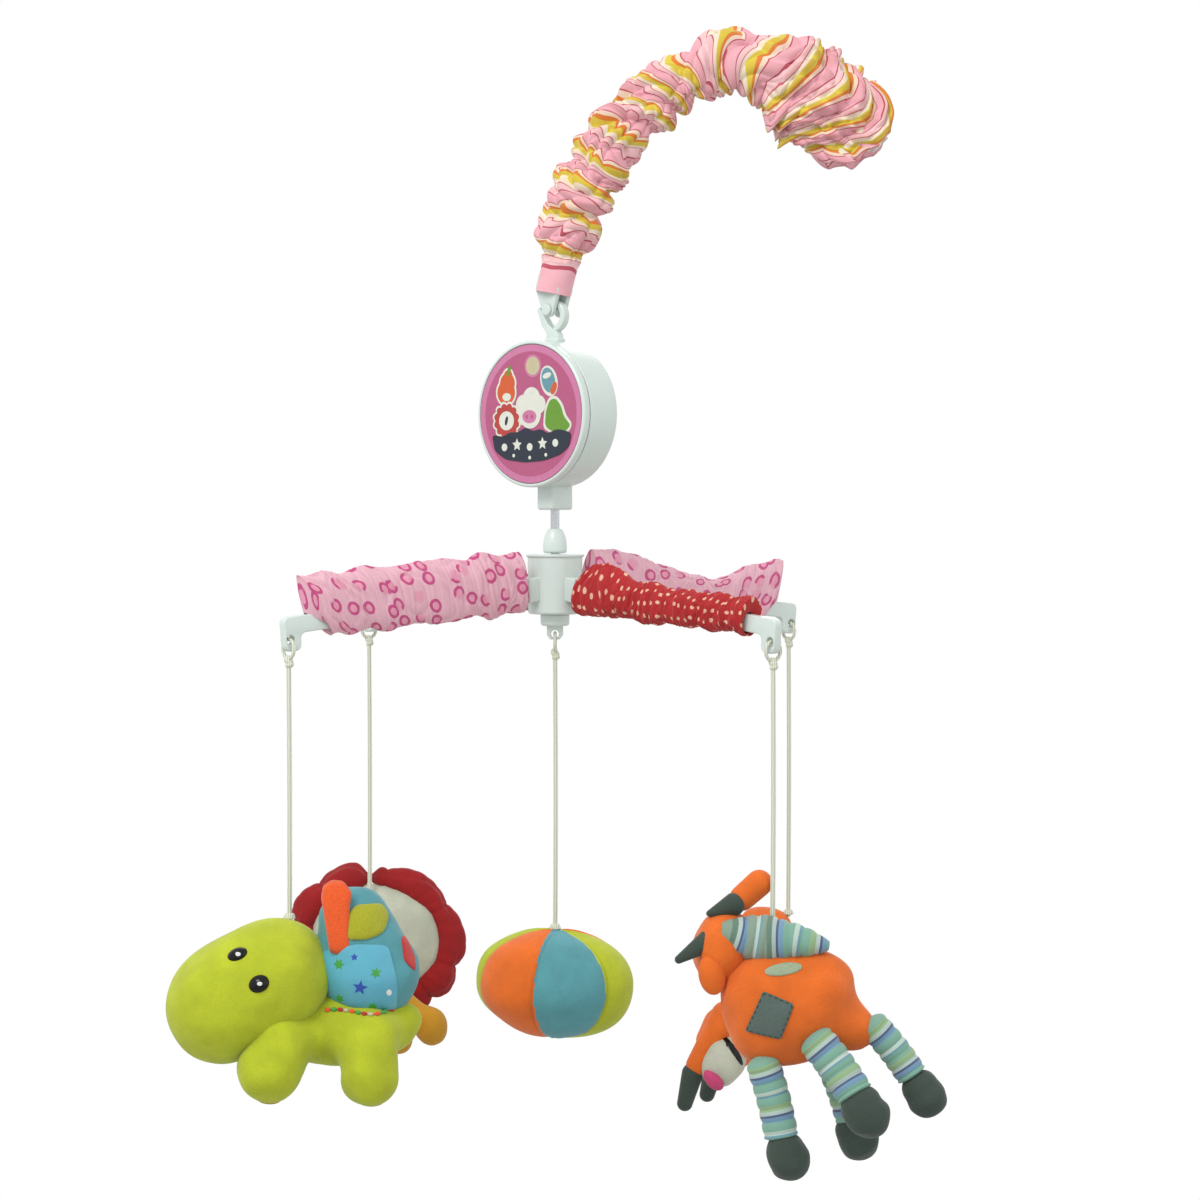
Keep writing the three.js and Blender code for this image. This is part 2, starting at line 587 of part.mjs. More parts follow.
// A straight bar that turns down into a rounded leg with a cross hole for the toy's loop.
function buildArmBar(turns) {
  const { start, end, height, thick, legWidth, legDrop } = CAROUSEL_ARM;
  const top = height / 2;
  const CORNER = 8;
  const outline = new THREE.Shape();
  outline.moveTo(start, -top);
  outline.lineTo(end - legWidth - 3, -top);
  outline.quadraticCurveTo(end - legWidth, -top, end - legWidth, -top - 3);
  outline.lineTo(end - legWidth, -legDrop + 3);
  outline.quadraticCurveTo(end - legWidth, -legDrop, end - legWidth + 3, -legDrop);
  outline.lineTo(end - 3, -legDrop);
  outline.quadraticCurveTo(end, -legDrop, end, -legDrop + 3);
  outline.lineTo(end, top - CORNER);
  outline.quadraticCurveTo(end, top, end - CORNER, top);
  outline.lineTo(start, top);
  outline.closePath();
  const bar = alongArm(plateXZ(outline, -thick / 2, thick / 2, 5), turns);
  const hole = rod(
    [LOOP.reach, -10, LOOP.holeZ], [LOOP.reach, 10, LOOP.holeZ], LOOP.holeRadius, LOOP.holeRadius, 14,
  ).rotateZ(Math.PI + CAROUSEL_ARM.yaw + (turns * Math.PI) / 2);
  return cut(bar, hole);
}

// A gathered cotton sleeve: a tall oval round the arm, which runs along its lower edge.
function buildCarouselSleeve(turns, halfHeight, halfThick, from, to) {
  const SIDES = 12;
  const RINGS = 5;
  const LOW = -8.4; // the sleeve's lower edge below the bar's centre
  const ring = (x, centreZ, a, b) => Array.from({ length: SIDES }, (_, i) => {
    const angle = (i / SIDES) * 2 * Math.PI;
    return new THREE.Vector3(x, a * Math.sin(angle), centreZ + b * Math.cos(angle));
  });
  const at = (i) => from + ((to - from) * i) / (RINGS - 1);
  const swell = (i) => 1 + 0.04 * (i % 2);
  const outer = Array.from({ length: RINGS }, (_, i) => (
    ring(at(i), LOW + halfHeight * swell(i), halfThick * swell(i), halfHeight * swell(i))
  ));
  const inner = Array.from({ length: RINGS }, (_, i) => ring(at(i), 0, 4.4, 7.4));
  return alongArm(sleeve(outer, inner), turns);
}

// Compass points of the four arms, seen from the front, in order of their turns.
const ARM_NAMES = ['front_left', 'front_right', 'rear_right', 'rear_left'];

function buildCarousel() {
  add('output_shaft', buildOutputShaft(), STEEL);
  add('hub_dome', buildHubDome(), WHITE_PLASTIC);
  add('hub', buildHub(), WHITE_PLASTIC);
  add('hub_eyelet', buildHubEyelet(), WHITE_PLASTIC);
  ARM_NAMES.forEach((name, turns) => {
    add(`carousel_arm_${name}`, buildArmBar(turns), WHITE_PLASTIC);
    const pink = turns % 2 === 0;
    const size = pink ? [17.5, 8.5, 23.5, 164] : [14, 9.5, 23.5, 160];
    add(`arm_sleeve_${name}`, buildCarouselSleeve(turns, ...size), pink ? PINK_COTTON : RED_COTTON);
  });
}

// The cap under the hub holds the shaft's end and the middle toy's loop.
function buildHubEyelet() {
  const cap = turned([[0, -67], [7, -67], [8, -66], [8, HUB.bottom - GAP], [0, HUB.bottom - GAP]], 20);
  const socket = rod([0, 0, -63.4], [0, 0, -50], SHAFT_RADIUS + 0.4);
  const tongue = box(-4.5, 4.5, -2.2, 2.2, -74.5, -66.5);
  const hole = rod([0, -10, -71.5], [0, 10, -71.5], LOOP.holeRadius - 0.2, LOOP.holeRadius - 0.2, 14);
  return cut(join(cap, tongue), socket, hole);
}

// ---------------------------------------------------------------- cords
// The loop and cord of one toy: the hole's centre, its turn about Z, and the height that the cord ends at.
function hang(name, holeX, holeY, holeZ, turn, endZ) {
  const ringZ = holeZ - LOOP.radius + 0.5;
  const loop = new THREE.TorusGeometry(LOOP.radius, LOOP.cord, 6, 14)
    .rotateY(Math.PI / 2)
    .rotateZ(turn)
    .translate(holeX, holeY, ringZ);
  add(`${name}_loop`, loop, CORD_WHITE);
  const top = ringZ - LOOP.radius - LOOP.cord - GAP;
  const cord = rod([holeX, holeY, endZ], [holeX, holeY, top], CORD_RADIUS, CORD_RADIUS, 10);
  add(`${name}_cord`, cord, CORD_WHITE);
}

// Where a toy's cord hangs, by the turns of its arm.
function cordAt(turns) {
  const angle = Math.PI + CAROUSEL_ARM.yaw + (turns * Math.PI) / 2;
  return [LOOP.reach * Math.cos(angle), LOOP.reach * Math.sin(angle), angle];
}

// ---------------------------------------------------------------- toys
// Each toy is drawn in its own group, at the end of its cord. The balance moves it sideways, so
// that its centre of gravity is under the cord.
function toyGroup(x, y, z, balance) {
  const group = new THREE.Group();
  group.position.set(x + balance[0], y + balance[1], z);
  mobile.add(group);
  return group;
}

// The height that each toy is drawn from, and the height of its top, where its cord is sewn on.
const TOYS = {
  turtle: { z: -213.3, top: -212.2 },
  cow: { z: -220.3, top: -211.1 },
  calf: { z: -244.3, top: -239.6 },
  lion: { z: -228.3, top: -236.8 },
  ball: { z: -233.3, top: -232.9 },
};

function buildBall() {
  hang('ball', 0, 0, -71.5, 0, TOYS.ball.top);
  const toy = toyGroup(0, 0, TOYS.ball.z, [-1, 0]);
  add('ball', blob([1, 0, -31], [44.5, 41, 31.2], [0, 5, 0], 18, 12), TEAL_PLUSH, toy);
}

function buildTurtle() {
  const [x, y, turn] = cordAt(0);
  hang('turtle', x, y, LOOP.holeZ, turn, TOYS.turtle.top);
  const toy = toyGroup(x, y, TOYS.turtle.z, [-2.5, 6]);
  const headAt = (grow) => blob([-22, -10, -35], [46 + grow, 39 + grow, 31 + grow], [0, -38, 0], 14, 10);
  const legs = [
    limb([2, -24, -60], [-8, -28, -77], 15, 16), limb([6, 14, -62], [0, 18, -80], 14, 14),
    limb([44, -20, -61], [44, -24, -82], 14.5, 14.5), limb([50, 16, -60], [50, 20, -80], 13, 13),
  ];
  const trunk = (grow) => blob([28, -2, -57], [40 + grow, 23 + grow, 21 + grow], [0, 2, 0], 14, 10);
  const tail = limb([60, -2, -57], [67, -2, -58], 6, 5);
  add('turtle_head', headAt(0), LIME_PLUSH, toy);
  add('turtle_body', cut(join(trunk(0), ...legs, tail), headAt(0.5)), LIME_PLUSH, toy);
  const dome = blob([40, -2, -46], [27.5, 22, 58], [0, 0, 0], 14, 12);
  const belowShell = box(-60, 120, -60, 60, -140, -46);
  const shell = cut(dome, trunk(0.5), headAt(0.5), belowShell);
  add('turtle_shell', shell, TEAL_PLUSH, toy);
}

function buildLion() {
  const [x, y, turn] = cordAt(3);
  hang('lion', x, y, LOOP.holeZ, turn, TOYS.lion.top);
  const toy = toyGroup(x, y, TOYS.lion.z, [-1, 8.5]);
  const face = (grow) => blob([2, 3, -36], [39 + grow, 15 + grow, 35 + grow], [0, 0, 20], 14, 10);
  const mane = (grow) => blob([2, 5, -36], [50 + grow, 11 + grow, 48.5 + grow], [0, 0, 20], 18, 10);
  const body = join(
    blob([-2, -27, -58], [24, 24, 25]),
    limb([14, -20, -62], [42, -20, -81], 8.5, 9.5), limb([-16, -20, -66], [-28, -20, -84], 8.5, 9.5),
    limb([12, -40, -70], [20, -46, -84], 8.5, 9), limb([-14, -40, -70], [-22, -46, -84], 8.5, 9),
  );
  add('lion_face', face(0), CREAM_PLUSH, toy);
  const notch = box(-6, 6, -40, 3, -14, 20);
  add('lion_mane', cut(mane(0), face(0.5), notch), RED_PLUSH, toy);
  add('lion_body', cut(body, mane(0.5), face(0.5)), MUSTARD_PLUSH, toy);
}

function buildCow() {
  const [x, y, turn] = cordAt(1);
  hang('cow', x, y, LOOP.holeZ, turn, TOYS.cow.top);
  const toy = toyGroup(x, y, TOYS.cow.z, [-5, 0]);
  const head = (grow) => blob([-27, 16, -13], [17 + grow, 34 + grow, 20 + grow], [0, 10, 0]);
  const trunk = (grow) => blob([3, 0, -31], [44 + grow, 27 + grow, 28 + grow], [0, 22, 0], 14, 10);
  const legs = [
    limb([-5, -10, -50], [6, -14, -107], 9, 11.5), limb([17, -20, -46], [46, -28, -86], 9, 12),
    limb([26, 12, -52], [43, 12, -103], 9, 11.5), limb([44, -2, -38], [75, -6, -77], 8, 11),
  ];
  const mane = cut(blob([6, -2, -5], [28, 10, 13], [0, 22, 0]), trunk(0.4), head(0.5));
  add('cow_head', head(0), ORANGE_PLUSH, toy);
  add('cow_body', cut(join(trunk(0), ...legs), head(0.5)), ORANGE_PLUSH, toy);
  add('cow_mane', mane, MINT_KNIT, toy);
}

function buildCalf() {
  const [x, y, turn] = cordAt(2);
  hang('calf', x, y, LOOP.holeZ, turn, TOYS.calf.top);
  const toy = toyGroup(x, y, TOYS.calf.z, [4, -3.5]);
  const head = (grow) => blob([-43, 1, -79], [19 + grow, 20 + grow, 26 + grow], [0, 25, 0]);
  const trunk = (grow) => blob([2, 4, -40], [26 + grow, 23 + grow, 36 + grow], [0, 25, 0], 14, 10);
  const rump = blob([-14, 4, -3], [16, 14, 9]);
  const neck = limb([-12, 4, -50], [-34, 4, -68], 15, 14);
  const legs = [
    rump, neck,
    limb([10, 16, -56], [20, 28, -80], 9, 10.5), limb([10, -12, -56], [20, -18, -80], 9, 10.5),
    limb([16, 14, -30], [28, 26, -52], 9, 10.5), limb([16, -8, -30], [28, -16, -52], 9, 10.5),
  ];
  add('calf_head', head(0), CREAM_PLUSH, toy);
  add('calf_body', cut(join(trunk(0), ...legs), head(0.5)), ORANGE_PLUSH, toy);
}

buildCribArm();
buildMusicBox();
buildCarousel();
buildBall();
buildTurtle();
buildLion();
buildCow();
buildCalf();
mobile.position.set(-plug.face.x, -plug.face.y, -plug.face.z);

const part = new THREE.Group();
part.add(mobile);
export default part;
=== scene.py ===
"""The looks of the crib mobile: a ruched sleeve on its arm, a wind-up music box, a cross of
sleeved arms, and five plush toys on cords. Lengths are in millimetres in the mobile's own frame,
which stands on the carousel's axis, level with the bottom of the music box."""
import json
import math
from types import SimpleNamespace

import bmesh
import bpy
import numpy as np
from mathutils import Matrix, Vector
from mathutils.bvhtree import BVHTree

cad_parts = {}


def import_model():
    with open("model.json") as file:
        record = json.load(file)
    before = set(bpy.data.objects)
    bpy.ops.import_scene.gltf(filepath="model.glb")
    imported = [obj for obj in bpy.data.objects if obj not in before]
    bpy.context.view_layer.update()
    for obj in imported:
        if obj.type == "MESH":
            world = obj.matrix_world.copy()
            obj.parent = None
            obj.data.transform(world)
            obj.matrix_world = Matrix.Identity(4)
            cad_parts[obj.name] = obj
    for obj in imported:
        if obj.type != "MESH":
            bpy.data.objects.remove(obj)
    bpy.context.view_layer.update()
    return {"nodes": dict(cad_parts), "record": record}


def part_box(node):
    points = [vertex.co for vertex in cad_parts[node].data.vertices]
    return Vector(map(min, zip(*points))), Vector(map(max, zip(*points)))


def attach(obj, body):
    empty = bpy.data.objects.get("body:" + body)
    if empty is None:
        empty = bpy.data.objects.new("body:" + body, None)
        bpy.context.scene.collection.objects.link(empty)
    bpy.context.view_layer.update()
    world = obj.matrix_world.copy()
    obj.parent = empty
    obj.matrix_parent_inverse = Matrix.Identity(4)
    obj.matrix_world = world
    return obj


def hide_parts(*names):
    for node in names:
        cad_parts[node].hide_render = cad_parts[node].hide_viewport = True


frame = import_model()

MM = 0.001
HUB_BOTTOM = -60.5
hub_low, hub_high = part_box("hub")
ORIGIN = np.array([
    (hub_low.x + hub_high.x) / 2,
    (hub_low.y + hub_high.y) / 2,
    hub_low.z - HUB_BOTTOM * MM,
])


def world(points):
    """Millimetres in the mobile's frame to metres in the row frame."""
    return np.asarray(points, float) * MM + ORIGIN


def running(steps):
    """Distances along a line, from the length of each of its steps."""
    return np.concatenate(([0.0], np.cumsum(steps)))


def turn_angles(count):
    """This many angles, evenly round a full turn."""
    return np.arange(count) * 2 * math.pi / count


# ---------------------------------------------------------------- camera and light
CAMERA_AT = (24.75, -1710.0, 0.0)
CAMERA_PITCH = 1.77  # degrees below the horizon
LENS = 93.3
FLOOR_Z, FLOOR_RADIUS, FLOOR_SIDES = -1000.0, 2500.0, 96


def new_object(name, data):
    """An object in the scene that shows this data."""
    thing = bpy.data.objects.new(name, data)
    bpy.context.scene.collection.objects.link(thing)
    return thing


def set_camera():
    data = bpy.data.cameras.new("camera")
    data.lens = LENS
    data.sensor_width = 36.0
    data.clip_start = 0.05
    camera = new_object("camera", data)
    camera.location = world(CAMERA_AT)
    camera.rotation_euler = (math.radians(90.0 - CAMERA_PITCH), 0.0, 0.0)
    bpy.context.scene.camera = camera


def area_light(name, place, aim, size, power):
    data = bpy.data.lights.new(name, "AREA")
    data.shape = "DISK"
    data.size = size
    data.energy = power
    light = new_object(name, data)
    light.location = world(place)
    direction = Vector(world(aim)) - light.location
    light.rotation_euler = direction.to_track_quat("-Z", "Y").to_euler()


def set_lights():
    middle = (0, 0, -60)
    area_light("key_light", (-700, -1100, 1100), middle, 0.8, 15)
    area_light("fill_light", (1300, -900, 250), middle, 1.4, 1.5)
    area_light("back_light", (300, 1500, 900), middle, 1.2, 5)
    backdrop = bpy.data.worlds.new("studio")
    backdrop.use_nodes = True
    shade = backdrop.node_tree.nodes["Background"]
    shade.inputs["Color"].default_value = (1.0, 1.0, 1.0, 1.0)
    shade.inputs["Strength"].default_value = 1.0
    bpy.context.scene.world = backdrop
    angles = turn_angles(FLOOR_SIDES)
    level = np.full(FLOOR_SIDES, FLOOR_Z)
    rim = np.stack((FLOOR_RADIUS * np.cos(angles), FLOOR_RADIUS * np.sin(angles), level), axis=1)
    floor = mesh_object("studio_floor", rim, [tuple(range(FLOOR_SIDES))])
    floor.data.materials.append(MATERIALS["floor"])


# ---------------------------------------------------------------- materials
class Shader:
    """A node material, and short ways to add nodes to it."""

    def __init__(self, name, **sockets):
        self.material = bpy.data.materials.new(name)
        self.material.use_nodes = True
        self.tree = self.material.node_tree
        self.bsdf = self.tree.nodes["Principled BSDF"]
        for socket, value in sockets.items():
            self.bsdf.inputs[socket.replace("_", " ")].default_value = value

    def feed(self, socket, value):
        if isinstance(value, bpy.types.NodeSocket):
            self.tree.links.new(value, socket)
        else:
            socket.default_value = value

    def add(self, kind, inputs, **settings):
        node = self.tree.nodes.new("ShaderNode" + kind)
        for key, value in settings.items():
            setattr(node, key, value)
        for socket, value in inputs.items():
            self.feed(node.inputs[socket], value)
        return node

    def place(self):
        return self.add("TexCoord", {}).outputs["Object"]

    def flat(self):
        return self.add("UVMap", {}, uv_map="flat").outputs["UV"]

    def noise(self, scale, detail=2.0, vector=None):
        inputs = {"Vector": vector or self.place(), "Scale": scale, "Detail": detail}
        return self.add("TexNoise", inputs).outputs[0]

    def math(self, operation, a, b=0.0):
        return self.add("Math", {0: a, 1: b}, operation=operation).outputs[0]

    def mix(self, factor, a, b, blend="MIX"):
        inputs = {0: factor, 6: a, 7: b}
        return self.add("Mix", inputs, data_type="RGBA", blend_type=blend).outputs[2]

    def spread(self, value, low, high, to_low=0.0, to_high=1.0):
        sockets = ("Value", "From Min", "From Max", "To Min", "To Max")
        inputs = dict(zip(sockets, (value, low, high, to_low, to_high)))
        return self.add("MapRange", inputs).outputs[0]

    def attribute(self, name):
        return self.add("Attribute", {}, attribute_name=name).outputs["Fac"]

    def ramp(self, factor, stops):
        """Flat bands of colour: a list of (where it starts, colour)."""
        node = self.add("ValToRGB", {"Fac": factor})
        node.color_ramp.interpolation = "CONSTANT"
        elements = node.color_ramp.elements
        while len(elements) < len(stops):
            elements.new(0.5)
        for element, (start, colour) in zip(elements, stops):
            element.position = start
            element.color = colour
        return node.outputs["Color"]

    def colour(self, value):
        self.feed(self.bsdf.inputs["Base Color"], value)

    def bump(self, heights):
        """Layers of (height, strength, distance in metres), coarse to fine."""
        normal = None
        for height, strength, distance in heights:
            inputs = {"Height": height, "Strength": strength, "Distance": distance}
            if normal:
                inputs["Normal"] = normal
            normal = self.add("Bump", inputs).outputs["Normal"]
        self.feed(self.bsdf.inputs["Normal"], normal)


def rgb(red, green, blue):
    """A linear colour from 0 to 255 values."""
    def linear(value):
        value /= 255.0
        return value / 12.92 if value <= 0.04045 else ((value + 0.055) / 1.055) ** 2.4
    return (linear(red), linear(green), linear(blue), 1.0)


def shade(colour, factor):
    return tuple(min(1.0, c * factor) for c in colour[:3]) + (1.0,)


def plastic(name, colour):
    s = Shader(name, Roughness=0.3, Coat_Weight=0.15, Coat_Roughness=0.2)
    cloud = s.spread(s.noise(35.0, 3.0), 0.3, 0.7)
    s.colour(s.mix(cloud, shade(colour, 0.95), colour))
    s.bump([(s.noise(120.0, 2.0), 0.08, 0.0004), (s.noise(1800.0, 2.0), 0.06, 0.0001)])
    return s.material


def metal(name, colour):
    s = Shader(name, Roughness=0.3, Metallic=1.0)
    grain = s.spread(s.noise(900.0, 3.0), 0.3, 0.7)
    s.colour(s.mix(grain, shade(colour, 0.8), colour))
    s.bump([(s.noise(2200.0, 2.0), 0.12, 0.0001)])
    return s.material


def velour(name, colour):
    """Short plush pile, with painted shade that darkens it in creases, and paler where it catches light.
    """
    sheen = tuple(0.6 + 0.4 * c for c in colour[:3]) + (1.0,)
    s = Shader(name, Roughness=0.9, Sheen_Weight=0.28, Sheen_Roughness=0.4, Sheen_Tint=sheen)
    nap = s.spread(s.noise(75.0, 4.0), 0.32, 0.68)
    tone = s.mix(nap, shade(colour, 0.86), shade(colour, 1.08))
    pile = s.noise(1500.0, 3.0)
    fibres = s.mix(s.spread(pile, 0.35, 0.65), shade(colour, 0.78), tone)
    tone = s.mix(0.45, tone, fibres)
    # painted shade: the colour darkens towards 0.42 of itself in the surface's hollows
    s.colour(s.mix(s.attribute("hollow_shade"), tone, shade(colour, 0.42)))
    s.bump([
        (s.noise(260.0, 3.0), 0.22, 0.0009),
        (pile, 0.5, 0.0005),
        (s.noise(5200.0, 1.0), 0.3, 0.00015),
    ])
    return s.material


def satin(name, colour):
    s = Shader(name, Roughness=0.36, Sheen_Weight=0.1)
    cloud = s.spread(s.noise(60.0, 2.0), 0.3, 0.7)
    s.colour(s.mix(cloud, shade(colour, 0.9), shade(colour, 1.06)))
    s.bump([(s.noise(140.0, 2.0), 0.25, 0.0012), (s.noise(3000.0, 1.0), 0.1, 0.0001)])
    return s.material


def felt(name, colour):
    s = Shader(name, Roughness=0.95, Sheen_Weight=0.15, Sheen_Roughness=0.6)
    fleck = s.spread(s.noise(1900.0, 4.0), 0.3, 0.7)
    s.colour(s.mix(fleck, shade(colour, 0.72), shade(colour, 1.12)))
    s.bump([(s.noise(700.0, 4.0), 0.4, 0.0005)])
    return s.material


def gloss(name, colour):
    s = Shader(name, Roughness=0.15, Coat_Weight=0.1, Coat_Roughness=0.05, Specular_IOR_Level=0.25)
    s.colour(s.mix(s.noise(500.0), colour, shade(colour, 1.2)))
    return s.material


def print_ink(name, colour):
    s = Shader(name, Roughness=0.32)
    s.colour(s.mix(s.spread(s.noise(400.0), 0.3, 0.7), shade(colour, 0.93), colour))
    s.bump([(s.noise(2500.0), 0.05, 0.0001)])
    return s.material


WEAVE_PITCH = 0.00055  # metres between threads


def woven(s, colour):
    """Finishes a cotton: its colour, with painted shade that darkens it in the folds, and the weave as
    bump.
    """
    across = s.add("SeparateXYZ", {0: s.flat()})
    turn = 2.0 * math.pi / WEAVE_PITCH
    threads = [s.math("SINE", s.math("MULTIPLY", across.outputs[i], turn)) for i in (0, 1)]
    weave = s.math("MULTIPLY", *threads)
    # painted shade: in the folds the colour is multiplied towards a dark red, more where the cloth is
    # hollower
    fold_shade = s.math("MULTIPLY", s.attribute("hollow_shade"), 0.75)
    deep = s.mix(1.0, colour, (0.52, 0.20, 0.14, 1.0), "MULTIPLY")
    s.colour(s.mix(fold_shade, colour, deep))
    s.bump([(s.noise(420.0, 3.0), 0.25, 0.0006), (weave, 0.18, 0.00012)])
    return s.material


STRIPES = [  # shares of one repeat of the arm sleeve's stripes, and their colours
    (0.0, rgb(220, 162, 172)), (0.20, rgb(172, 70, 88)), (0.235, rgb(224, 182, 184)),
    (0.40, rgb(186, 92, 104)), (0.43, rgb(224, 212, 190)), (0.56, rgb(204, 184, 56)),
    (0.73, rgb(208, 118, 36)), (0.81, rgb(226, 206, 186)), (0.90, rgb(180, 76, 88)),
    (0.93, rgb(220, 162, 172)),
]
STRIPE_REPEAT, KNIT_REPEAT = 0.023, 0.021  # metres
RING_CELL, RING_RADIUS = 0.0118, 0.0030  # how far apart the printed rings are, and their size
DOT_CELL, DOT_RADIUS = 0.0072, 0.00115


def striped_cotton():
    s = Shader("striped_cotton", Roughness=0.8, Sheen_Weight=0.12)
    along = s.add("SeparateXYZ", {0: s.flat()}).outputs[1]
    wobble = s.math("MULTIPLY", s.noise(30.0, 1.0, s.flat()), 0.003)
    share = s.math("FRACT", s.math("DIVIDE", s.math("ADD", along, wobble), STRIPE_REPEAT))
    return woven(s, s.ramp(share, STRIPES))


def cell_distance(s, cell, randomness):
    """Distance, in metres, from the nearest of the print's scattered centres."""
    inputs = {"Vector": s.flat(), "Scale": 1.0 / cell, "Randomness": randomness}
    node = s.add("TexVoronoi", inputs, voronoi_dimensions="2D", feature="F1")
    return s.math("MULTIPLY", node.outputs["Distance"], cell)


def ringed_cotton():
    """Light pink cotton printed with magenta rings, some of them broken."""
    s = Shader("ringed_cotton", Roughness=0.8, Sheen_Weight=0.12)
    away = cell_distance(s, RING_CELL, 0.7)
    line = s.math("ABSOLUTE", s.math("SUBTRACT", away, RING_RADIUS))
    ring = s.spread(line, 0.0007, 0.0010, 1.0, 0.0)
    broken = s.spread(s.noise(110.0, 0.0, s.flat()), 0.56, 0.6, 1.0, 0.15)
    ground = s.mix(s.spread(away, 0.0020, RING_RADIUS), rgb(216, 146, 168), rgb(216, 168, 182))
    return woven(s, s.mix(s.math("MULTIPLY", ring, broken), ground, rgb(184, 70, 122)))


def dotted_cotton():
    """Red cotton printed with off-white dots."""
    s = Shader("dotted_cotton", Roughness=0.8, Sheen_Weight=0.12)
    away = cell_distance(s, DOT_CELL, 0.45)
    dot = s.spread(away, DOT_RADIUS, 0.0014, 1.0, 0.0)
    return woven(s, s.mix(dot, rgb(168, 14, 20), rgb(222, 178, 150)))


def knit(name, ground, second):
    """A knit with blue, white and navy stripes round the limb."""
    s = Shader(name, Roughness=0.85, Sheen_Weight=0.2)
    along = s.add("SeparateXYZ", {0: s.flat()}).outputs[1]
    share = s.math("FRACT", s.math("DIVIDE", along, KNIT_REPEAT))
    colour = s.ramp(share, [
        (0.0, ground), (0.2, second), (0.34, rgb(160, 180, 172)), (0.44, rgb(72, 84, 118)),
        (0.50, rgb(104, 140, 164)), (0.62, ground), (0.84, rgb(170, 190, 180)),
        (0.94, rgb(98, 140, 152)),
    ])
    return woven(s, colour)


def braided_cord():
    s = Shader("braided_cord", Roughness=0.7, Sheen_Weight=0.2)
    twist = s.add("TexWave", {"Vector": s.place(), "Scale": 260.0, "Distortion": 1.5})
    s.colour(s.mix(twist.outputs[1], rgb(176, 180, 160), rgb(214, 218, 202)))
    s.bump([(twist.outputs[1], 0.5, 0.0003)])
    return s.material


MATERIALS = {
    "floor": Shader("pale_floor", Base_Color=(0.56, 0.55, 0.54, 1.0), Roughness=1.0).material,
    "plastic": plastic("white_plastic", rgb(198, 210, 204)),
    "steel": metal("bright_steel", rgb(200, 203, 206)),
    "brass": metal("turned_brass", rgb(196, 164, 92)),
    "stripes": striped_cotton(),
    "rings": ringed_cotton(),
    "dots": dotted_cotton(),
    "knit": knit("mint_knit", rgb(112, 156, 138), rgb(134, 164, 122)),
    "cord": braided_cord(),
    "lime": velour("lime_velour", rgb(172, 184, 30)),
    "teal": velour("teal_velour", rgb(80, 146, 154)),
    "orange": velour("orange_velour", rgb(218, 102, 22)),
    "cream": velour("cream_velour", rgb(182, 186, 168)),
    "red": velour("red_velour", rgb(146, 4, 10)),
    "mustard": velour("mustard_velour", rgb(190, 136, 22)),
    "grey": velour("grey_velour", rgb(54, 68, 60)),
    "pink": velour("pink_velour", rgb(192, 66, 112)),
    "satin": satin("blue_satin", rgb(82, 162, 184)),
    "vivid": felt("orange_felt", rgb(222, 84, 22)),
    "lime_felt": felt("lime_felt", rgb(158, 160, 20)),
    "red_felt": felt("red_felt", rgb(182, 38, 36)),
    "grey_felt": felt("grey_felt", rgb(80, 96, 90)),
    "mint_felt": felt("mint_felt", rgb(150, 164, 134)),
    "knit_grey": knit("grey_knit", rgb(122, 142, 126), rgb(92, 118, 102)),
    "black": gloss("black_eye", rgb(6, 6, 6)),
    "white": gloss("white_glint", rgb(200, 204, 200)),
}
INKS = {
    "pink": (188, 110, 148), "rose": (168, 78, 116), "navy": (18, 30, 48), "white": (206, 208, 196),
    "orange": (196, 82, 30), "red": (168, 52, 44), "green": (94, 140, 34), "sun": (184, 174, 140),
    "blue": (92, 138, 150), "star": (34, 68, 160), "leaf": (58, 150, 58),
}
for ink, levels in INKS.items():
    MATERIALS["ink_" + ink] = print_ink("ink_" + ink, rgb(*levels))


# ---------------------------------------------------------------- mesh tools
def mesh_object(name, points, faces, uvs=None, smooth=True):
    """A mesh from points in millimetres. uvs are one pair per point, in metres."""
    mesh = bpy.data.meshes.new(name)
    mesh.from_pydata(world(points).tolist(), [], [tuple(f) for f in faces])
    mesh.update()
    mesh.polygons.foreach_set("use_smooth", [smooth] * len(mesh.polygons))
    if uvs is not None:
        layer = mesh.uv_layers.new(name="flat")
        corners = np.zeros(len(mesh.loops), np.int32)
        mesh.loops.foreach_get("vertex_index", corners)
        layer.data.foreach_set("uv", np.asarray(uvs, np.float32)[corners].ravel())
    return new_object(name, mesh)


def put(thing, body, slot, *materials, replaces=()):
    """Gives a piece its materials, and says which body it belongs to; its slot is not used."""
    thing.data.materials.clear()
    for material in materials:
        thing.data.materials.append(MATERIALS[material])
    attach(thing, body)
    if replaces:
        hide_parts(*replaces)
    return thing


def hard(thing, body, node):
    """A white plastic piece, which stands for one node of the CAD."""
    return put(thing, body, "white_plastic", "plastic", replaces=[node])


def grid_faces(rows, columns, closed_rows=False, closed_columns=True):
    """Quads over a grid of points numbered row by row."""
    faces = []
    for r in range(rows if closed_rows else rows - 1):
        for c in range(columns if closed_columns else columns - 1):
            r2 = (r + 1) % rows
            c2 = (c + 1) % columns
            faces.append((r * columns + c, r * columns + c2, r2 * columns + c2, r2 * columns + c))
    return faces


def fillet(points, radius, steps=5, closed=False):
    """A polyline with each corner rounded, by a radius that its two sides have room for."""
    points = [np.asarray(p, float) for p in points]
    count = len(points)
    result = []
    for i, corner in enumerate(points):
        if not closed and i in (0, count - 1):
            result.append(corner)
            continue
        before = points[i - 1] - corner
        after = points[(i + 1) % count] - corner
        reach = min(radius, 0.45 * np.linalg.norm(before), 0.45 * np.linalg.norm(after))
        start = corner + before / np.linalg.norm(before) * reach
        end = corner + after / np.linalg.norm(after) * reach
        for t in np.linspace(0, 1, steps):
            result.append((1 - t) ** 2 * start + 2 * t * (1 - t) * corner + t * t * end)
    return np.array(result)


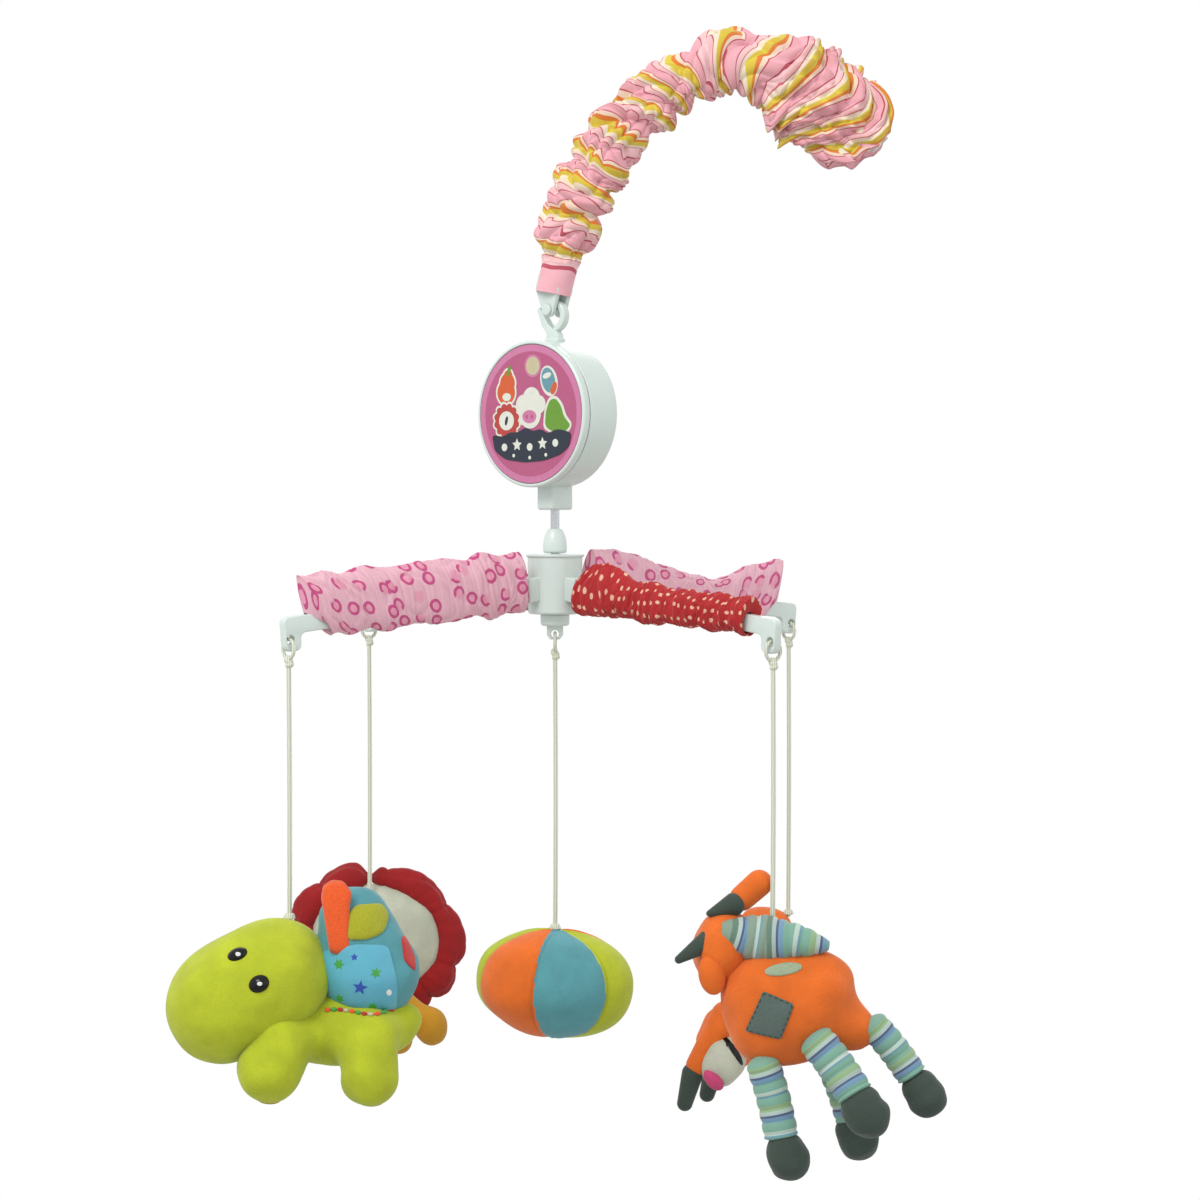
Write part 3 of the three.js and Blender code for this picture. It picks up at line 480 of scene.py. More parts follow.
def turned(name, profile, radius, axis="Z", centre=(0, 0, 0), steps=96, move=None):
    """A lathed piece from (radius, height) corners, each rounded. axis is Z or Y."""
    line = fillet(profile, radius)
    angles = turn_angles(steps)
    r, h = line[:, 0][:, None], line[:, 1][:, None]
    side, front = r * np.cos(angles), r * np.sin(angles)
    level = np.broadcast_to(h, side.shape)
    stack = (side, front, level) if axis == "Z" else (side, level, front)
    points = np.stack(stack, axis=-1).reshape(-1, 3) + np.asarray(centre, float)
    if move is not None:
        points = move(points)
    piece = mesh_object(name, points, grid_faces(len(line), steps))
    mend(piece, merge=True)
    sharpen(piece)
    return piece


MERGE = 1e-6  # metres; points nearer than this are one


def mend(piece, merge=False):
    """Turns every face outward, after joining points that lie on each other."""
    edit = bmesh.new()
    edit.from_mesh(piece.data)
    if merge:
        bmesh.ops.remove_doubles(edit, verts=edit.verts, dist=MERGE)
    bmesh.ops.recalc_face_normals(edit, faces=edit.faces)
    edit.to_mesh(piece.data)
    edit.free()


def sharpen(piece, degrees=50.0):
    """Smooth shading, but for edges sharper than this."""
    limit = math.radians(degrees)
    edit = bmesh.new()
    edit.from_mesh(piece.data)
    for face in edit.faces:
        face.smooth = True
    for edge in edit.edges:
        edge.smooth = len(edge.link_faces) != 2 or edge.calc_face_angle(0.0) < limit
    edit.to_mesh(piece.data)
    edit.free()


def taken_from(thing):
    """The points and faces of an object with its modifiers applied; the object is removed."""
    state = bpy.context.evaluated_depsgraph_get()
    mesh = bpy.data.meshes.new_from_object(thing.evaluated_get(state))
    bpy.data.objects.remove(thing)
    points = np.array([v.co for v in mesh.vertices], float)
    faces = [tuple(p.vertices) for p in mesh.polygons]
    bpy.data.meshes.remove(mesh)
    return points, faces


def arc(centre, radius, start, end, steps):
    angles = np.radians(np.linspace(start, end, steps))
    return [(centre[0] + radius * math.cos(a), centre[1] + radius * math.sin(a)) for a in angles]


def plate(name, outline, half, edge, holes=(), move=None):
    """A flat piece drawn in x and z, with rounded edges, centred on y = 0."""
    curve = bpy.data.curves.new(name, "CURVE")
    curve.dimensions = "2D"
    curve.fill_mode = "BOTH"
    curve.extrude = half - edge
    curve.bevel_depth = edge
    curve.bevel_resolution = 3
    curve.offset = -edge
    for loop in (outline, *holes):
        spline = curve.splines.new("POLY")
        spline.points.add(len(loop) - 1)
        for point, (x, z) in zip(spline.points, loop):
            point.co = (x, z, 0.0, 1.0)
        spline.use_cyclic_u = True
    shape = new_object(name + "_outline", curve)
    flat, faces = taken_from(shape)
    points = np.stack((flat[:, 0], -flat[:, 2], flat[:, 1]), axis=1)
    piece = mesh_object(name, points if move is None else move(points), faces)
    mend(piece, merge=True)
    sharpen(piece, 35.0)
    return piece


def shrink_tube(name, path, radii, sides):
    """A round-ended tube along a path, with a radius at each point."""
    path = np.asarray(path, float)
    radii = np.asarray(radii, float)
    tangents = np.gradient(path, axis=0)
    tangents /= np.linalg.norm(tangents, axis=1)[:, None]
    side = np.cross(tangents[0], (0.31, 0.87, 0.39))
    side /= np.linalg.norm(side)
    rings, lengths = [], [0.0]
    for i, (point, tangent, radius) in enumerate(zip(path, tangents, radii)):
        side = side - tangent * side.dot(tangent)
        side /= np.linalg.norm(side)
        other = np.cross(tangent, side)
        angles = turn_angles(sides)
        circle = np.outer(np.cos(angles), side) + np.outer(np.sin(angles), other)
        rings.append(point + radius * circle)
        if i:
            lengths.append(lengths[-1] + np.linalg.norm(path[i] - path[i - 1]))
    points = np.concatenate(rings)
    rows = len(path)
    faces = rod_faces(0, rows, sides)
    around = np.tile(np.arange(sides) / sides * 2 * math.pi * radii.mean(), rows)
    uvs = np.stack((around, np.repeat(lengths, sides)), axis=1) * MM
    return mesh_object(name, points, faces, uvs)


def ring_points(middle, side, upward, radius, count):
    """Points evenly round a circle, from its centre and the two directions it lies in."""
    angles = [2 * k * math.pi / count for k in range(count)]
    return [middle + (side * math.cos(a) + upward * math.sin(a)) * radius for a in angles]


def rod_faces(base, rows, sides):
    """The faces of a rod with closed ends, whose points are numbered from base."""
    faces = [tuple(base + i for i in f) for f in grid_faces(rows, sides)]
    faces.append(tuple(base + i for i in range(sides))[::-1])
    faces.append(tuple(base + (rows - 1) * sides + i for i in range(sides)))
    return faces


CREASE_SPREAD = 2  # times that each vertex's hollowness is shared with its neighbours


def mark_hollow_shade(piece, strength=1.0):
    """Stores how hollow the surface is at each vertex, from 0 to 1, as the mask for the painted shade
    that the materials put in the hollows.
    """
    edit = bmesh.new()
    edit.from_mesh(piece.data)
    edit.normal_update()
    hollow = np.zeros(len(edit.verts))
    for vert in edit.verts:
        ring = [e.other_vert(vert).co for e in vert.link_edges]
        middle = sum(ring, Vector()) / len(ring)
        size = sum((p - vert.co).length for p in ring) / len(ring)
        hollow[vert.index] = (middle - vert.co).dot(vert.normal) / max(size, 1e-9)
    links = np.array([[v.index for v in e.verts] for e in edit.edges])
    edit.free()
    degree = np.bincount(links.ravel(), minlength=len(hollow)) + 1.0
    for _ in range(CREASE_SPREAD):
        total = hollow.copy()
        np.add.at(total, links[:, 0], hollow[links[:, 1]])
        np.add.at(total, links[:, 1], hollow[links[:, 0]])
        hollow = total / degree
    value = np.clip(hollow * 4.0 * strength, 0.0, 1.0).astype(np.float32)
    layer = piece.data.attributes.new("hollow_shade", "FLOAT", "POINT")
    layer.data.foreach_set("value", value)


def ripple(u, v, seed, waves=7, low=1.0, high=4.0):
    """Smooth noise over u, which is free, and v, an angle that closes on itself."""
    draw = np.random.default_rng(seed)
    total = np.zeros(np.broadcast(u, v).shape)
    for _ in range(waves):
        pace = draw.uniform(low, high)
        turns = draw.integers(-2, 3)
        start = draw.uniform(0, 2 * math.pi)
        total = total + np.sin(2 * math.pi * pace * u + turns * v + start)
    return total / math.sqrt(waves / 2.0)


# ---------------------------------------------------------------- stuffed shapes
def rotation(degrees):
    """The matrix that turns about Z, then Y, then X."""
    (cx, sx), (cy, sy), (cz, sz) = (
        (math.cos(a), math.sin(a)) for a in (math.radians(d) for d in degrees)
    )
    round_x = np.array([[1, 0, 0], [0, cx, -sx], [0, sx, cx]])
    round_y = np.array([[cy, 0, sy], [0, 1, 0], [-sy, 0, cy]])
    round_z = np.array([[cz, -sz, 0], [sz, cz, 0], [0, 0, 1]])
    return round_x @ round_y @ round_z


class Lump:
    """An egg shape: its centre, half-sizes and tilt."""

    def __init__(self, centre, halves, tilt=(0, 0, 0)):
        self.centre = np.asarray(centre, float)
        self.halves = np.asarray(halves, float)
        self.turn = rotation(tilt)

    def distance(self, points):
        local = (points - self.centre) @ self.turn
        k0 = np.linalg.norm(local / self.halves, axis=1)
        k1 = np.linalg.norm(local / self.halves ** 2, axis=1)
        return k0 * (k0 - 1.0) / np.maximum(k1, 1e-9)

    def balls(self):
        yield self.centre, self.halves, self.turn


class Roll:
    """A round-ended limb between two points, with a radius at each."""

    def __init__(self, start, end, radius, end_radius=None):
        self.start = np.asarray(start, float)
        self.end = np.asarray(end, float)
        self.radii = (radius, radius if end_radius is None else end_radius)

    def distance(self, points):
        along = self.end - self.start
        share = np.clip((points - self.start) @ along / along.dot(along), 0, 1)
        nearest = self.start + share[:, None] * along
        radius = self.radii[0] + (self.radii[1] - self.radii[0]) * share
        return np.linalg.norm(points - nearest, axis=1) - radius

    def balls(self):
        for share in np.linspace(0, 1, 9):
            radius = self.radii[0] + (self.radii[1] - self.radii[0]) * share
            yield self.start + share * (self.end - self.start), np.full(3, radius), np.eye(3)


def union_distance(points, lumps, blend):
    total = lumps[0].distance(points)
    for lump in lumps[1:]:
        other = lump.distance(points)
        near = np.maximum(blend - np.abs(total - other), 0.0) / blend
        total = np.minimum(total, other) - near * near * blend / 4.0
    return total


SKIN_MARGIN = 1.02  # the first rough skin stands this much outside the lumps
SLOPE_STEP = 0.05  # millimetres, for measuring which way is outward
SETTLE_TIMES, SETTLE_SHARE = 6, 0.9  # how the skin is drawn onto the lumps


def stuffed(name, lumps, at, blend=7.0, voxel=1.9, uneven=None):
    """One soft skin over several lumps. uneven is the seed, size and height of its unevenness."""
    edit = bmesh.new()
    for lump in lumps:
        for centre, halves, turn in lump.balls():
            made = bmesh.ops.create_icosphere(edit, subdivisions=3, radius=1.0)
            for vert in made["verts"]:
                vert.co = Vector(turn @ (np.array(vert.co) * halves * SKIN_MARGIN) + centre)
    mesh = bpy.data.meshes.new(name + "_rough")
    edit.to_mesh(mesh)
    edit.free()
    rough = new_object(name + "_rough", mesh)
    remesh = rough.modifiers.new("skin", "REMESH")
    remesh.mode = "VOXEL"
    remesh.voxel_size = voxel
    points, faces = taken_from(rough)
    for _ in range(SETTLE_TIMES):
        gap = union_distance(points, lumps, blend)
        slope = np.stack([
            (union_distance(points + offset, lumps, blend) - gap) / SLOPE_STEP
            for offset in np.eye(3) * SLOPE_STEP
        ], axis=1)
        slope /= np.maximum(np.linalg.norm(slope, axis=1), 1e-6)[:, None]
        points = points - slope * gap[:, None] * SETTLE_SHARE
    if uneven:
        points = points + slope * cloth_noise(points, *uneven)[:, None]
    piece = mesh_object(name, points + np.asarray(at, float), faces)
    mark_hollow_shade(piece)
    return piece


NOISE_WAVES = 9


def cloth_noise(points, seed, size, height):
    """Slight unevenness of stuffing, a few tenths of a millimetre high."""
    draw = np.random.default_rng(seed)
    total = np.zeros(len(points))
    for _ in range(NOISE_WAVES):
        direction = draw.normal(size=3)
        direction /= np.linalg.norm(direction)
        wave = size * draw.uniform(0.6, 1.5)
        start = draw.uniform(0, 6.28)
        total += np.sin(points @ direction * 2 * math.pi / wave + start)
    return total / math.sqrt(NOISE_WAVES) * height


# ---------------------------------------------------------------- sewn-on pieces
def outline_ellipse(a, b, tilt=0.0, steps=36):
    angles = turn_angles(steps)
    x, y = a * np.cos(angles), b * np.sin(angles)
    t = math.radians(tilt)
    return np.stack((x * math.cos(t) - y * math.sin(t), x * math.sin(t) + y * math.cos(t)), axis=1)


def outline_star(outer, inner, tips=5, tilt=0.0):
    angles = np.radians(tilt) + np.arange(tips * 2) * math.pi / tips
    radii = np.where(np.arange(tips * 2) % 2 == 0, outer, inner)
    return np.stack((radii * np.cos(angles), radii * np.sin(angles)), axis=1)


def outline_polygon(corners, rounding):
    return fillet(corners, rounding, closed=True)


def dense(outline, spacing=1.0):
    """The same closed outline with points at an even spacing."""
    closed = np.vstack((outline, outline[:1]))
    result = []
    for a, b in zip(closed[:-1], closed[1:]):
        count = max(1, int(np.linalg.norm(b - a) / spacing))
        result += [a + (b - a) * i / count for i in range(count)]
    return np.array(result)


def surface_of(*things):
    """A tree for finding points on some pieces, in millimetres in the mobile's frame."""
    points, faces = [], []
    for thing in things:
        base = len(points)
        points += [Vector((np.array(v.co) - ORIGIN) / MM) for v in thing.data.vertices]
        faces += [tuple(base + i for i in p.vertices) for p in thing.data.polygons]
    return BVHTree.FromPolygons(points, faces)


RAY_REACH = 40.0  # how far in front of a surface a patch is dropped from
EDGE_DROP = 0.35  # share of a patch's thickness by which its rim is lower


def drop_onto(target, spot, facing):
    """The point and normal that a spot lands on, going against facing, or the nearest ones."""
    hit, normal, _, _ = target.ray_cast(spot + facing * RAY_REACH, -facing)
    if hit is None:
        hit, normal, _, _ = target.find_nearest(spot)
    return hit, normal


def facing_frame(facing, up=(0, 0, 1)):
    """The directions towards the viewer, right and up, for something that looks a way."""
    facing = Vector(facing).normalized()
    right = Vector(up).cross(facing).normalized()
    return facing, right, facing.cross(right)


def applique(
    name, target, outline, at, facing, up=(0, 0, 1), thick=0.8, crown=0.0, rings=8, sink=0.3,
):
    """A patch laid on a surface. at is a point near it, facing is the way that the patch looks,
    and the outline is drawn to the right and up as seen from in front of it."""
    facing, right, upward = facing_frame(facing, up)
    outline = dense(np.asarray(outline, float))
    centre = outline.mean(axis=0)
    count = len(outline)
    front, back = [], []
    for k in range(rings, -1, -1):
        share = k / rings
        loop = centre + (outline - centre) * share
        for x, y in (loop if k else loop[:1]):
            spot = Vector(at) + right * x + upward * y
            hit, normal = drop_onto(target, spot, facing)
            rise = thick + crown * (1.0 - share * share) - (EDGE_DROP * thick if k == rings else 0)
            front.append(hit + normal * rise)
            back.append(hit - normal * sink)
    faces = grid_faces(rings, count)
    tip = rings * count
    last = (rings - 1) * count
    faces += [(last + c, last + (c + 1) % count, tip) for c in range(count)]  # round the middle
    size = len(front)
    sides = [(c, size + c, size + (c + 1) % count, (c + 1) % count) for c in range(count)]
    faces += sides + [tuple(size + i for i in reversed(f)) for f in faces]
    piece = mesh_object(name, np.array(front + back), faces)
    mend(piece)
    sharpen(piece, 60.0)
    return piece


THREAD_STEP, THREAD_SPACING, THREAD_LENGTH, THREAD_SIDES = 0.5, 3.4, 2.0, 6
END_DIP = 0.5  # how far a thread's ends go down into the cloth


def stitches(name, target, outline, at, facing, lift, thick):
    """A line of short threads, following an outline on a surface."""
    facing, right, upward = facing_frame(facing)
    line = dense(np.asarray(outline, float), THREAD_STEP)
    points, faces = [], []
    stride, reach = int(THREAD_SPACING / THREAD_STEP), int(THREAD_LENGTH / THREAD_STEP)
    for start in range(0, len(line) - reach, stride):
        run = []
        for x, y in line[start:start + reach + 1]:
            spot = Vector(at) + right * x + upward * y
            run.append(drop_onto(target, spot, facing))
        base, last = len(points), len(run) - 1
        for i, (hit, normal) in enumerate(run):
            along = (run[min(i + 1, last)][0] - run[max(i - 1, 0)][0]).normalized()
            side = along.cross(normal).normalized()
            middle = hit + normal * (lift - (END_DIP if i in (0, last) else 0))
            points += ring_points(middle, side, normal, thick, THREAD_SIDES)
        faces += rod_faces(base, len(run), THREAD_SIDES)
    return mesh_object(name, np.array(points), faces)


# ---------------------------------------------------------------- frames of the parts
BOX_YAW = math.radians(-42.0)
ARM_YAW = math.radians(39.7)
ARM_SLOPE = math.radians(5.6)
ARM_START, ARM_END, ARM_ROOT_Z = 8.0, 181.0, -46.0
LOOP_REACH = 176.0
HOLE_Z, EYELET_HOLE_Z = -70.0, -71.5  # of the holes at the arms' ends, and of the one under the hub


def about_z(points, angle):
    x, y, z = np.asarray(points, float).T
    c, s = math.cos(angle), math.sin(angle)
    return np.stack((x * c - y * s, x * s + y * c, z), axis=1)


def in_box(points):
    """From the music box's own frame, in which its label faces -Y."""
    return about_z(points, BOX_YAW)


def arm_angle(turns):
    return math.pi + ARM_YAW + turns * math.pi / 2


def along_arm(turns):
    """From a frame with +X out along one of the carousel's arms."""
    def move(points):
        x, y, z = np.asarray(points, float).T
        c, s = math.cos(ARM_SLOPE), math.sin(ARM_SLOPE)
        x = x - ARM_START
        slid = np.stack((x * c + z * s + ARM_START, y, z * c - x * s + ARM_ROOT_Z), axis=1)
        return about_z(slid, arm_angle(turns))
    return move


def block(name, low, high, edge, move):
    """A box with rounded edges."""
    edit = bmesh.new()
    bmesh.ops.create_cube(edit, size=1.0)
    low, high = np.array(low, float), np.array(high, float)
    for vert in edit.verts:
        vert.co = Vector((low + high) / 2 + np.array(vert.co) * (high - low))
    bmesh.ops.bevel(edit, geom=edit.edges[:], offset=edge, segments=4, profile=0.5, affect="EDGES")
    points = np.array([v.co for v in edit.verts])
    faces = [tuple(v.index for v in f.verts) for f in edit.faces]
    edit.free()
    piece = mesh_object(name, move(points), faces)
    sharpen(piece, 60.0)
    return piece


def joined(name, *pieces):
    """One mesh from several, which may run into each other."""
    whole = bmesh.new()
    for piece in pieces:
        whole.from_mesh(piece.data)
        old = piece.data
        bpy.data.objects.remove(piece)
        bpy.data.meshes.remove(old)
    mesh = bpy.data.meshes.new(name)
    whole.to_mesh(mesh)
    whole.free()
    return new_object(name, mesh)


# ---------------------------------------------------------------- crib arm
ARM_PATH = (  # x and z of the knots that the arm's centreline goes through
    (1, 117.5), (9, 157), (25, 187), (47, 212), (74, 231), (104, 240), (135, 234), (157, 219),
    (171, 204),
)


SPINE_POINTS = 60  # between one knot and the next


def arm_spine():
    """The arm's centreline: points in x and z, through the knots, with even tension."""
    knots = [np.array(p, float) for p in ARM_PATH]
    knots = [2 * knots[0] - knots[1], *knots, 2 * knots[-1] - knots[-2]]
    line = []
    for a, b, c, d in zip(knots, knots[1:], knots[2:], knots[3:]):
        da, db, dc = (np.linalg.norm(q - p) ** 0.5 for p, q in ((a, b), (b, c), (c, d)))
        leave = ((b - a) / da - (c - a) / (da + db) + (c - b) / db) * db
        arrive = ((c - b) / db - (d - b) / (db + dc) + (d - c) / dc) * db
        for t in np.linspace(0, 1, SPINE_POINTS, endpoint=False):
            line.append(
                b * (2 * t ** 3 - 3 * t * t + 1) + c * (3 * t * t - 2 * t ** 3)
                + leave * (t ** 3 - 2 * t * t + t) + arrive * (t ** 3 - t * t)
            )
    line.append(knots[-2])
    return np.array(line)


SPINE = arm_spine()
SPINE_STEPS = running(np.linalg.norm(np.diff(SPINE, axis=0), axis=1))
ARM_LENGTH = SPINE_STEPS[-1]


def arm_frame(lengths):
    """Centres, directions and upward sides of the arm at these distances along it."""
    lengths = np.asarray(lengths, float)

    def at(s):
        return np.stack([np.interp(s, SPINE_STEPS, SPINE[:, i]) for i in (0, 1)], axis=1)

    centre = at(lengths)
    middle = np.clip(lengths, 1.0, ARM_LENGTH - 1.0)
    way = at(middle + 1.0) - at(middle - 1.0)
    way /= np.linalg.norm(way, axis=1)[:, None]
    beyond = lengths - np.clip(lengths, 0, ARM_LENGTH)
    centre = centre + way * beyond[:, None]
    zero = np.zeros(len(lengths))
    centre3 = np.stack((centre[:, 0], zero, centre[:, 1]), axis=1)
    way3 = np.stack((way[:, 0], zero, way[:, 1]), axis=1)
    up3 = np.stack((-way[:, 1], zero, way[:, 0]), axis=1)
    return centre3, way3, up3


def billow(phase, sharp=0.75):
    """Rounded puffs with tight valleys between them, from 0 to 1."""
    return np.abs(np.sin(math.pi * phase)) ** sharp


SLEEVE_PROFILE = (  # share of the arm; the sleeve's half-height, half-depth and shift upwards there
    (-0.02, 9.6, 9.6, 1.6), (0.05, 9.8, 9.8, 0.6), (0.1, 13.6, 12.5, 0.0),
    (0.16, 16.4, 14.5, 0.0), (0.24, 17.0, 15.0, 0.0), (0.29, 14.8, 14.0, 0.0),
    (0.34, 16.4, 15.0, 1.4), (0.45, 15.8, 14.5, 2.0), (0.55, 14.0, 13.5, 3.2),
    (0.65, 17.4, 15.0, 2.4), (0.71, 19.0, 16.5, 0.5), (0.78, 26.0, 19.0, -8.0),
    (0.86, 28.0, 20.0, -8.5), (0.94, 25.0, 19.0, -6.0), (1.02, 22.5, 17.0, -3.5),
)
SLEEVE_LEAN = (  # share of the arm, and how far the folds lean along it at the sleeve's upper side
    (0.0, -4.0), (0.1, -5.0), (0.2, 3.0), (0.42, 8.0), (0.58, 1.0), (0.7, -8.0), (0.8, -22.0),
    (0.92, -14.0), (1.0, -2.0),
)
BAND_END = 0.055  # share of the arm where the flat band ends and the gathers start
SLEEVE_FLAT_WIDTH = 0.115  # metres
SEAM_TURN = 0.75 * math.pi  # where the cloth's two edges lie together, unjoined, round from its top
MEAN_FOLD, MEAN_PUFF = 0.66, 0.74  # about the mean of billow, which folds rise above and fall below
MOUTH_REACH = (  # height in the mouth from -1 at the bottom, and how far the cloth reaches there
    (-1.0, -3.0), (-0.9, 0.0), (-0.5, 11.0), (-0.2, 12.0), (0.0, 13.0), (0.14, 11.5),
    (0.3, 11.0), (0.5, 10.5), (0.7, 3.0), (1.0, -17.0),
)
MOUTH_TUCK = 24.0  # how far the hem is turned in, back along the arm


def build_arm_sleeve():
    """Striped cotton gathered on the arm, with an open, ragged mouth at the mounting end."""
    rows, sides, inner_rows = 620, 200, 14
    share = np.linspace(-0.012, 1.0, rows)[:, None]
    angle = (SEAM_TURN + np.linspace(0, 2 * math.pi, sides + 1))[None, :]
    profile, lean_at = np.array(SLEEVE_PROFILE), np.array(SLEEVE_LEAN)
    half, deep, rise = (np.interp(share, profile[:, 0], profile[:, i]) for i in (1, 2, 3))
    ruched = np.clip((share - BAND_END) / 0.02, 0, 1)
    bunched = np.clip((share - 0.66) / 0.12, 0, 1)
    lean = np.interp(share, lean_at[:, 0], lean_at[:, 1]) * np.cos(angle + 0.5 * bunched)
    flow = share * ARM_LENGTH + lean
    puffs = billow(flow / 25.0 + 0.20 * ripple(share, angle, 3) + 0.3)
    folds = billow(flow / 12.5 + 0.45 * ripple(share, angle, 5, low=2, high=6))
    stray = 0.45 * ripple(share, angle, 8, low=1, high=6)
    cross = billow(flow / 17.0 + 1.1 * np.sin(angle + 0.4) + stray)
    stray = 0.45 * ripple(share, angle, 12, low=1, high=6)
    other = billow(flow / 19.0 - 1.2 * np.sin(angle + 1.9) + stray)
    dents = ripple(share, angle, 17, waves=12, low=4, high=14)
    height = 5.6 * (puffs - MEAN_PUFF) + 2.6 * (folds - MEAN_FOLD)
    height = height + (2.4 + 0.9 * bunched) * (cross - MEAN_FOLD)
    height = height + (2.2 + 0.8 * bunched) * (other - MEAN_FOLD) + 0.5 * dents
    band = 0.2 * np.sin(38 * share * math.pi) * np.sin(3 * angle) + 0.12 * dents
    out = ruched * height + (1 - ruched) * band
    mouth = np.clip((share - 0.8) / 0.2, 0, 1) ** 1.5
    level = np.cos(angle)
    reach = np.array(MOUTH_REACH)
    ragged = 1.0 * np.sin(5 * angle + 0.8) + 0.9 * np.sin(9 * angle + 2.0)
    lag = ruched * 1.2 * ripple(share, angle, 23, low=2, high=6)
    lag = lag + mouth * (np.interp(level, reach[:, 0], reach[:, 1]) + ragged)
    lengths = share * ARM_LENGTH + lag
    out = out + mouth * 1.8 * np.sin(7 * angle + 0.5)
    turn_in = np.linspace(0, 1, inner_rows + 1)[1:, None]
    shrink = turn_in ** 1.6

    def tucked(values, target):
        """The same values with rows added for the hem, which turns in towards the arm."""
        last = values[-1:] * np.ones_like(angle)
        return np.concatenate((values * np.ones_like(angle), last + (target - last) * shrink))

    end = lengths[-1:] + 0.8 * np.sin(turn_in * math.pi) - MOUTH_TUCK * turn_in ** 1.4
    lengths = np.concatenate((lengths, end))
    up_size, deep_size, up_shift = tucked(half + out, 9.5), tucked(deep + out, 9.5), tucked(rise, 0.0)
    total = rows + inner_rows
    centre, _, up = (part.reshape(total, sides + 1, 3) for part in arm_frame(lengths.ravel()))
    across = np.array([0.0, 1.0, 0.0])
    points = centre + across * (deep_size * np.sin(angle))[..., None]
    points = points + up * (up_size * np.cos(angle) + up_shift)[..., None]
    steps = np.linalg.norm(np.diff(points, axis=0), axis=2).mean(axis=1)
    drawn = running(steps)[:, None]
    drawn = drawn - np.interp(BAND_END, share[:, 0], drawn[:rows, 0])
    pull = lean * 1.1 + 2.4 * ripple(share, angle, 31, low=1, high=5)
    pull = pull + (3.2 - 2.4 * bunched) * (cross - other)
    pull = pull * np.clip((share - BAND_END) / 0.06, 0, 1)
    drawn = np.where(drawn < 0, 0.35 * drawn, drawn) + 0.2 * STRIPE_REPEAT / MM
    drawn = drawn + np.concatenate((pull, np.repeat(pull[-1:], inner_rows, axis=0)))
    around = np.broadcast_to(angle / (2 * math.pi) * SLEEVE_FLAT_WIDTH / MM, drawn.shape)
    uvs = np.stack((around, drawn), axis=2).reshape(-1, 2) * MM
    faces = grid_faces(total, sides + 1, closed_columns=False)
    sleeve = mesh_object("arm_sleeve_cloth", points.reshape(-1, 3), faces, uvs)
    mark_hollow_shade(sleeve, 1.3)
    put(sleeve, "crib_arm", "striped_cotton", "stripes", replaces=["arm_sleeve"])


PIN_Z = 106.2
TUBE_RADIUS = 6.0


def build_crib_arm():
    lengths = np.linspace(0.3, ARM_LENGTH - 0.3, 90)
    centre, _, _ = arm_frame(lengths)
    tube = shrink_tube("arm_tube_smooth", centre, np.full(len(centre), TUBE_RADIUS), 40)
    sharpen(tube)
    hard(tube, "crib_arm", "arm_tube")
    build_arm_sleeve()
    cheek = arc((0, PIN_Z), 3.9, 190, 350, 20)
    cheek += [(6.5, 113.5), (8, 116), (8, 126), (-7, 126), (-9, 119), (-8, 114.5)]
    bridge = [(-8, 114.5), (8, 114.5), (8, 126), (-6.5, 126)]
    plates = [
        plate("cheek", cheek, 1.5, 0.6, move=lambda p, y=y: in_box(p + np.array((0, y, 0))))
        for y in (-4.5, 4.5)
    ]
    clevis = joined("clevis_smooth", *plates, plate("bridge", bridge, 3.4, 0.4, move=in_box))
    hard(clevis, "crib_arm", "arm_clevis")
    profile = [(0, 6), (2, 6), (2, -6.2), (3.2, -6.3), (3.2, -7.6), (0, -7.9)]
    pin = turned("pin_smooth", profile, 0.5, "Y", (0, 0, PIN_Z), 40, move=in_box)
    hard(pin, "crib_arm", "clevis_pin")


# ---------------------------------------------------------------- music box
CASE_Z = 49.0
LABEL_Y = -19.7


def ink(name, outline, layer, colour):
    """A flat printed shape on the label, in millimetres from its centre."""
    depth = LABEL_Y - 0.08 * layer
    flat = np.asarray(outline, float)
    middle = flat.mean(axis=0)
    count = len(flat)
    points = [(x, depth, CASE_Z + z) for x, z in flat] + [(middle[0], depth, CASE_Z + middle[1])]
    points += [(x, depth + 0.3, CASE_Z + z) for x, z in flat]
    faces = [(count, (i + 1) % count, i) for i in range(count)][::-1]
    faces += [(i, (i + 1) % count, count + 1 + (i + 1) % count, count + 1 + i) for i in range(count)]
    piece = mesh_object("print_" + name, in_box(points), [f[::-1] for f in faces], smooth=False)
    put(piece, "music_box", "label", "ink_" + colour)


def moved(outline, x, z):
    return np.asarray(outline, float) + np.array((x, z))


def oval(a, b, x, z, tilt=0.0):
    """An ellipse round the point x, z."""
    return moved(outline_ellipse(a, b, tilt), x, z)


def scallops(radius, depth, count):
    """A round outline with this many bumps on it."""
    angles = turn_angles(120)
    r = radius + depth * np.abs(np.sin(angles * count / 2))
    return np.stack((r * np.cos(angles), r * np.sin(angles)), axis=1)


def cloud(bumps):
    """The outline round some circles, each (x, z, radius), from their common centre."""
    centre = np.mean([b[:2] for b in bumps], axis=0)
    points = []
    for a in turn_angles(90):
        way = np.array((math.cos(a), math.sin(a)))
        best = 0.0
        for x, z, r in bumps:
            offset = np.array((x, z)) - centre
            along = offset.dot(way)
            gap = r * r - (offset.dot(offset) - along * along)
            if gap > 0:
                best = max(best, along + math.sqrt(gap))
        points.append(centre + way * best)
    return np.array(points)


LABEL_RADIUS = 37.7


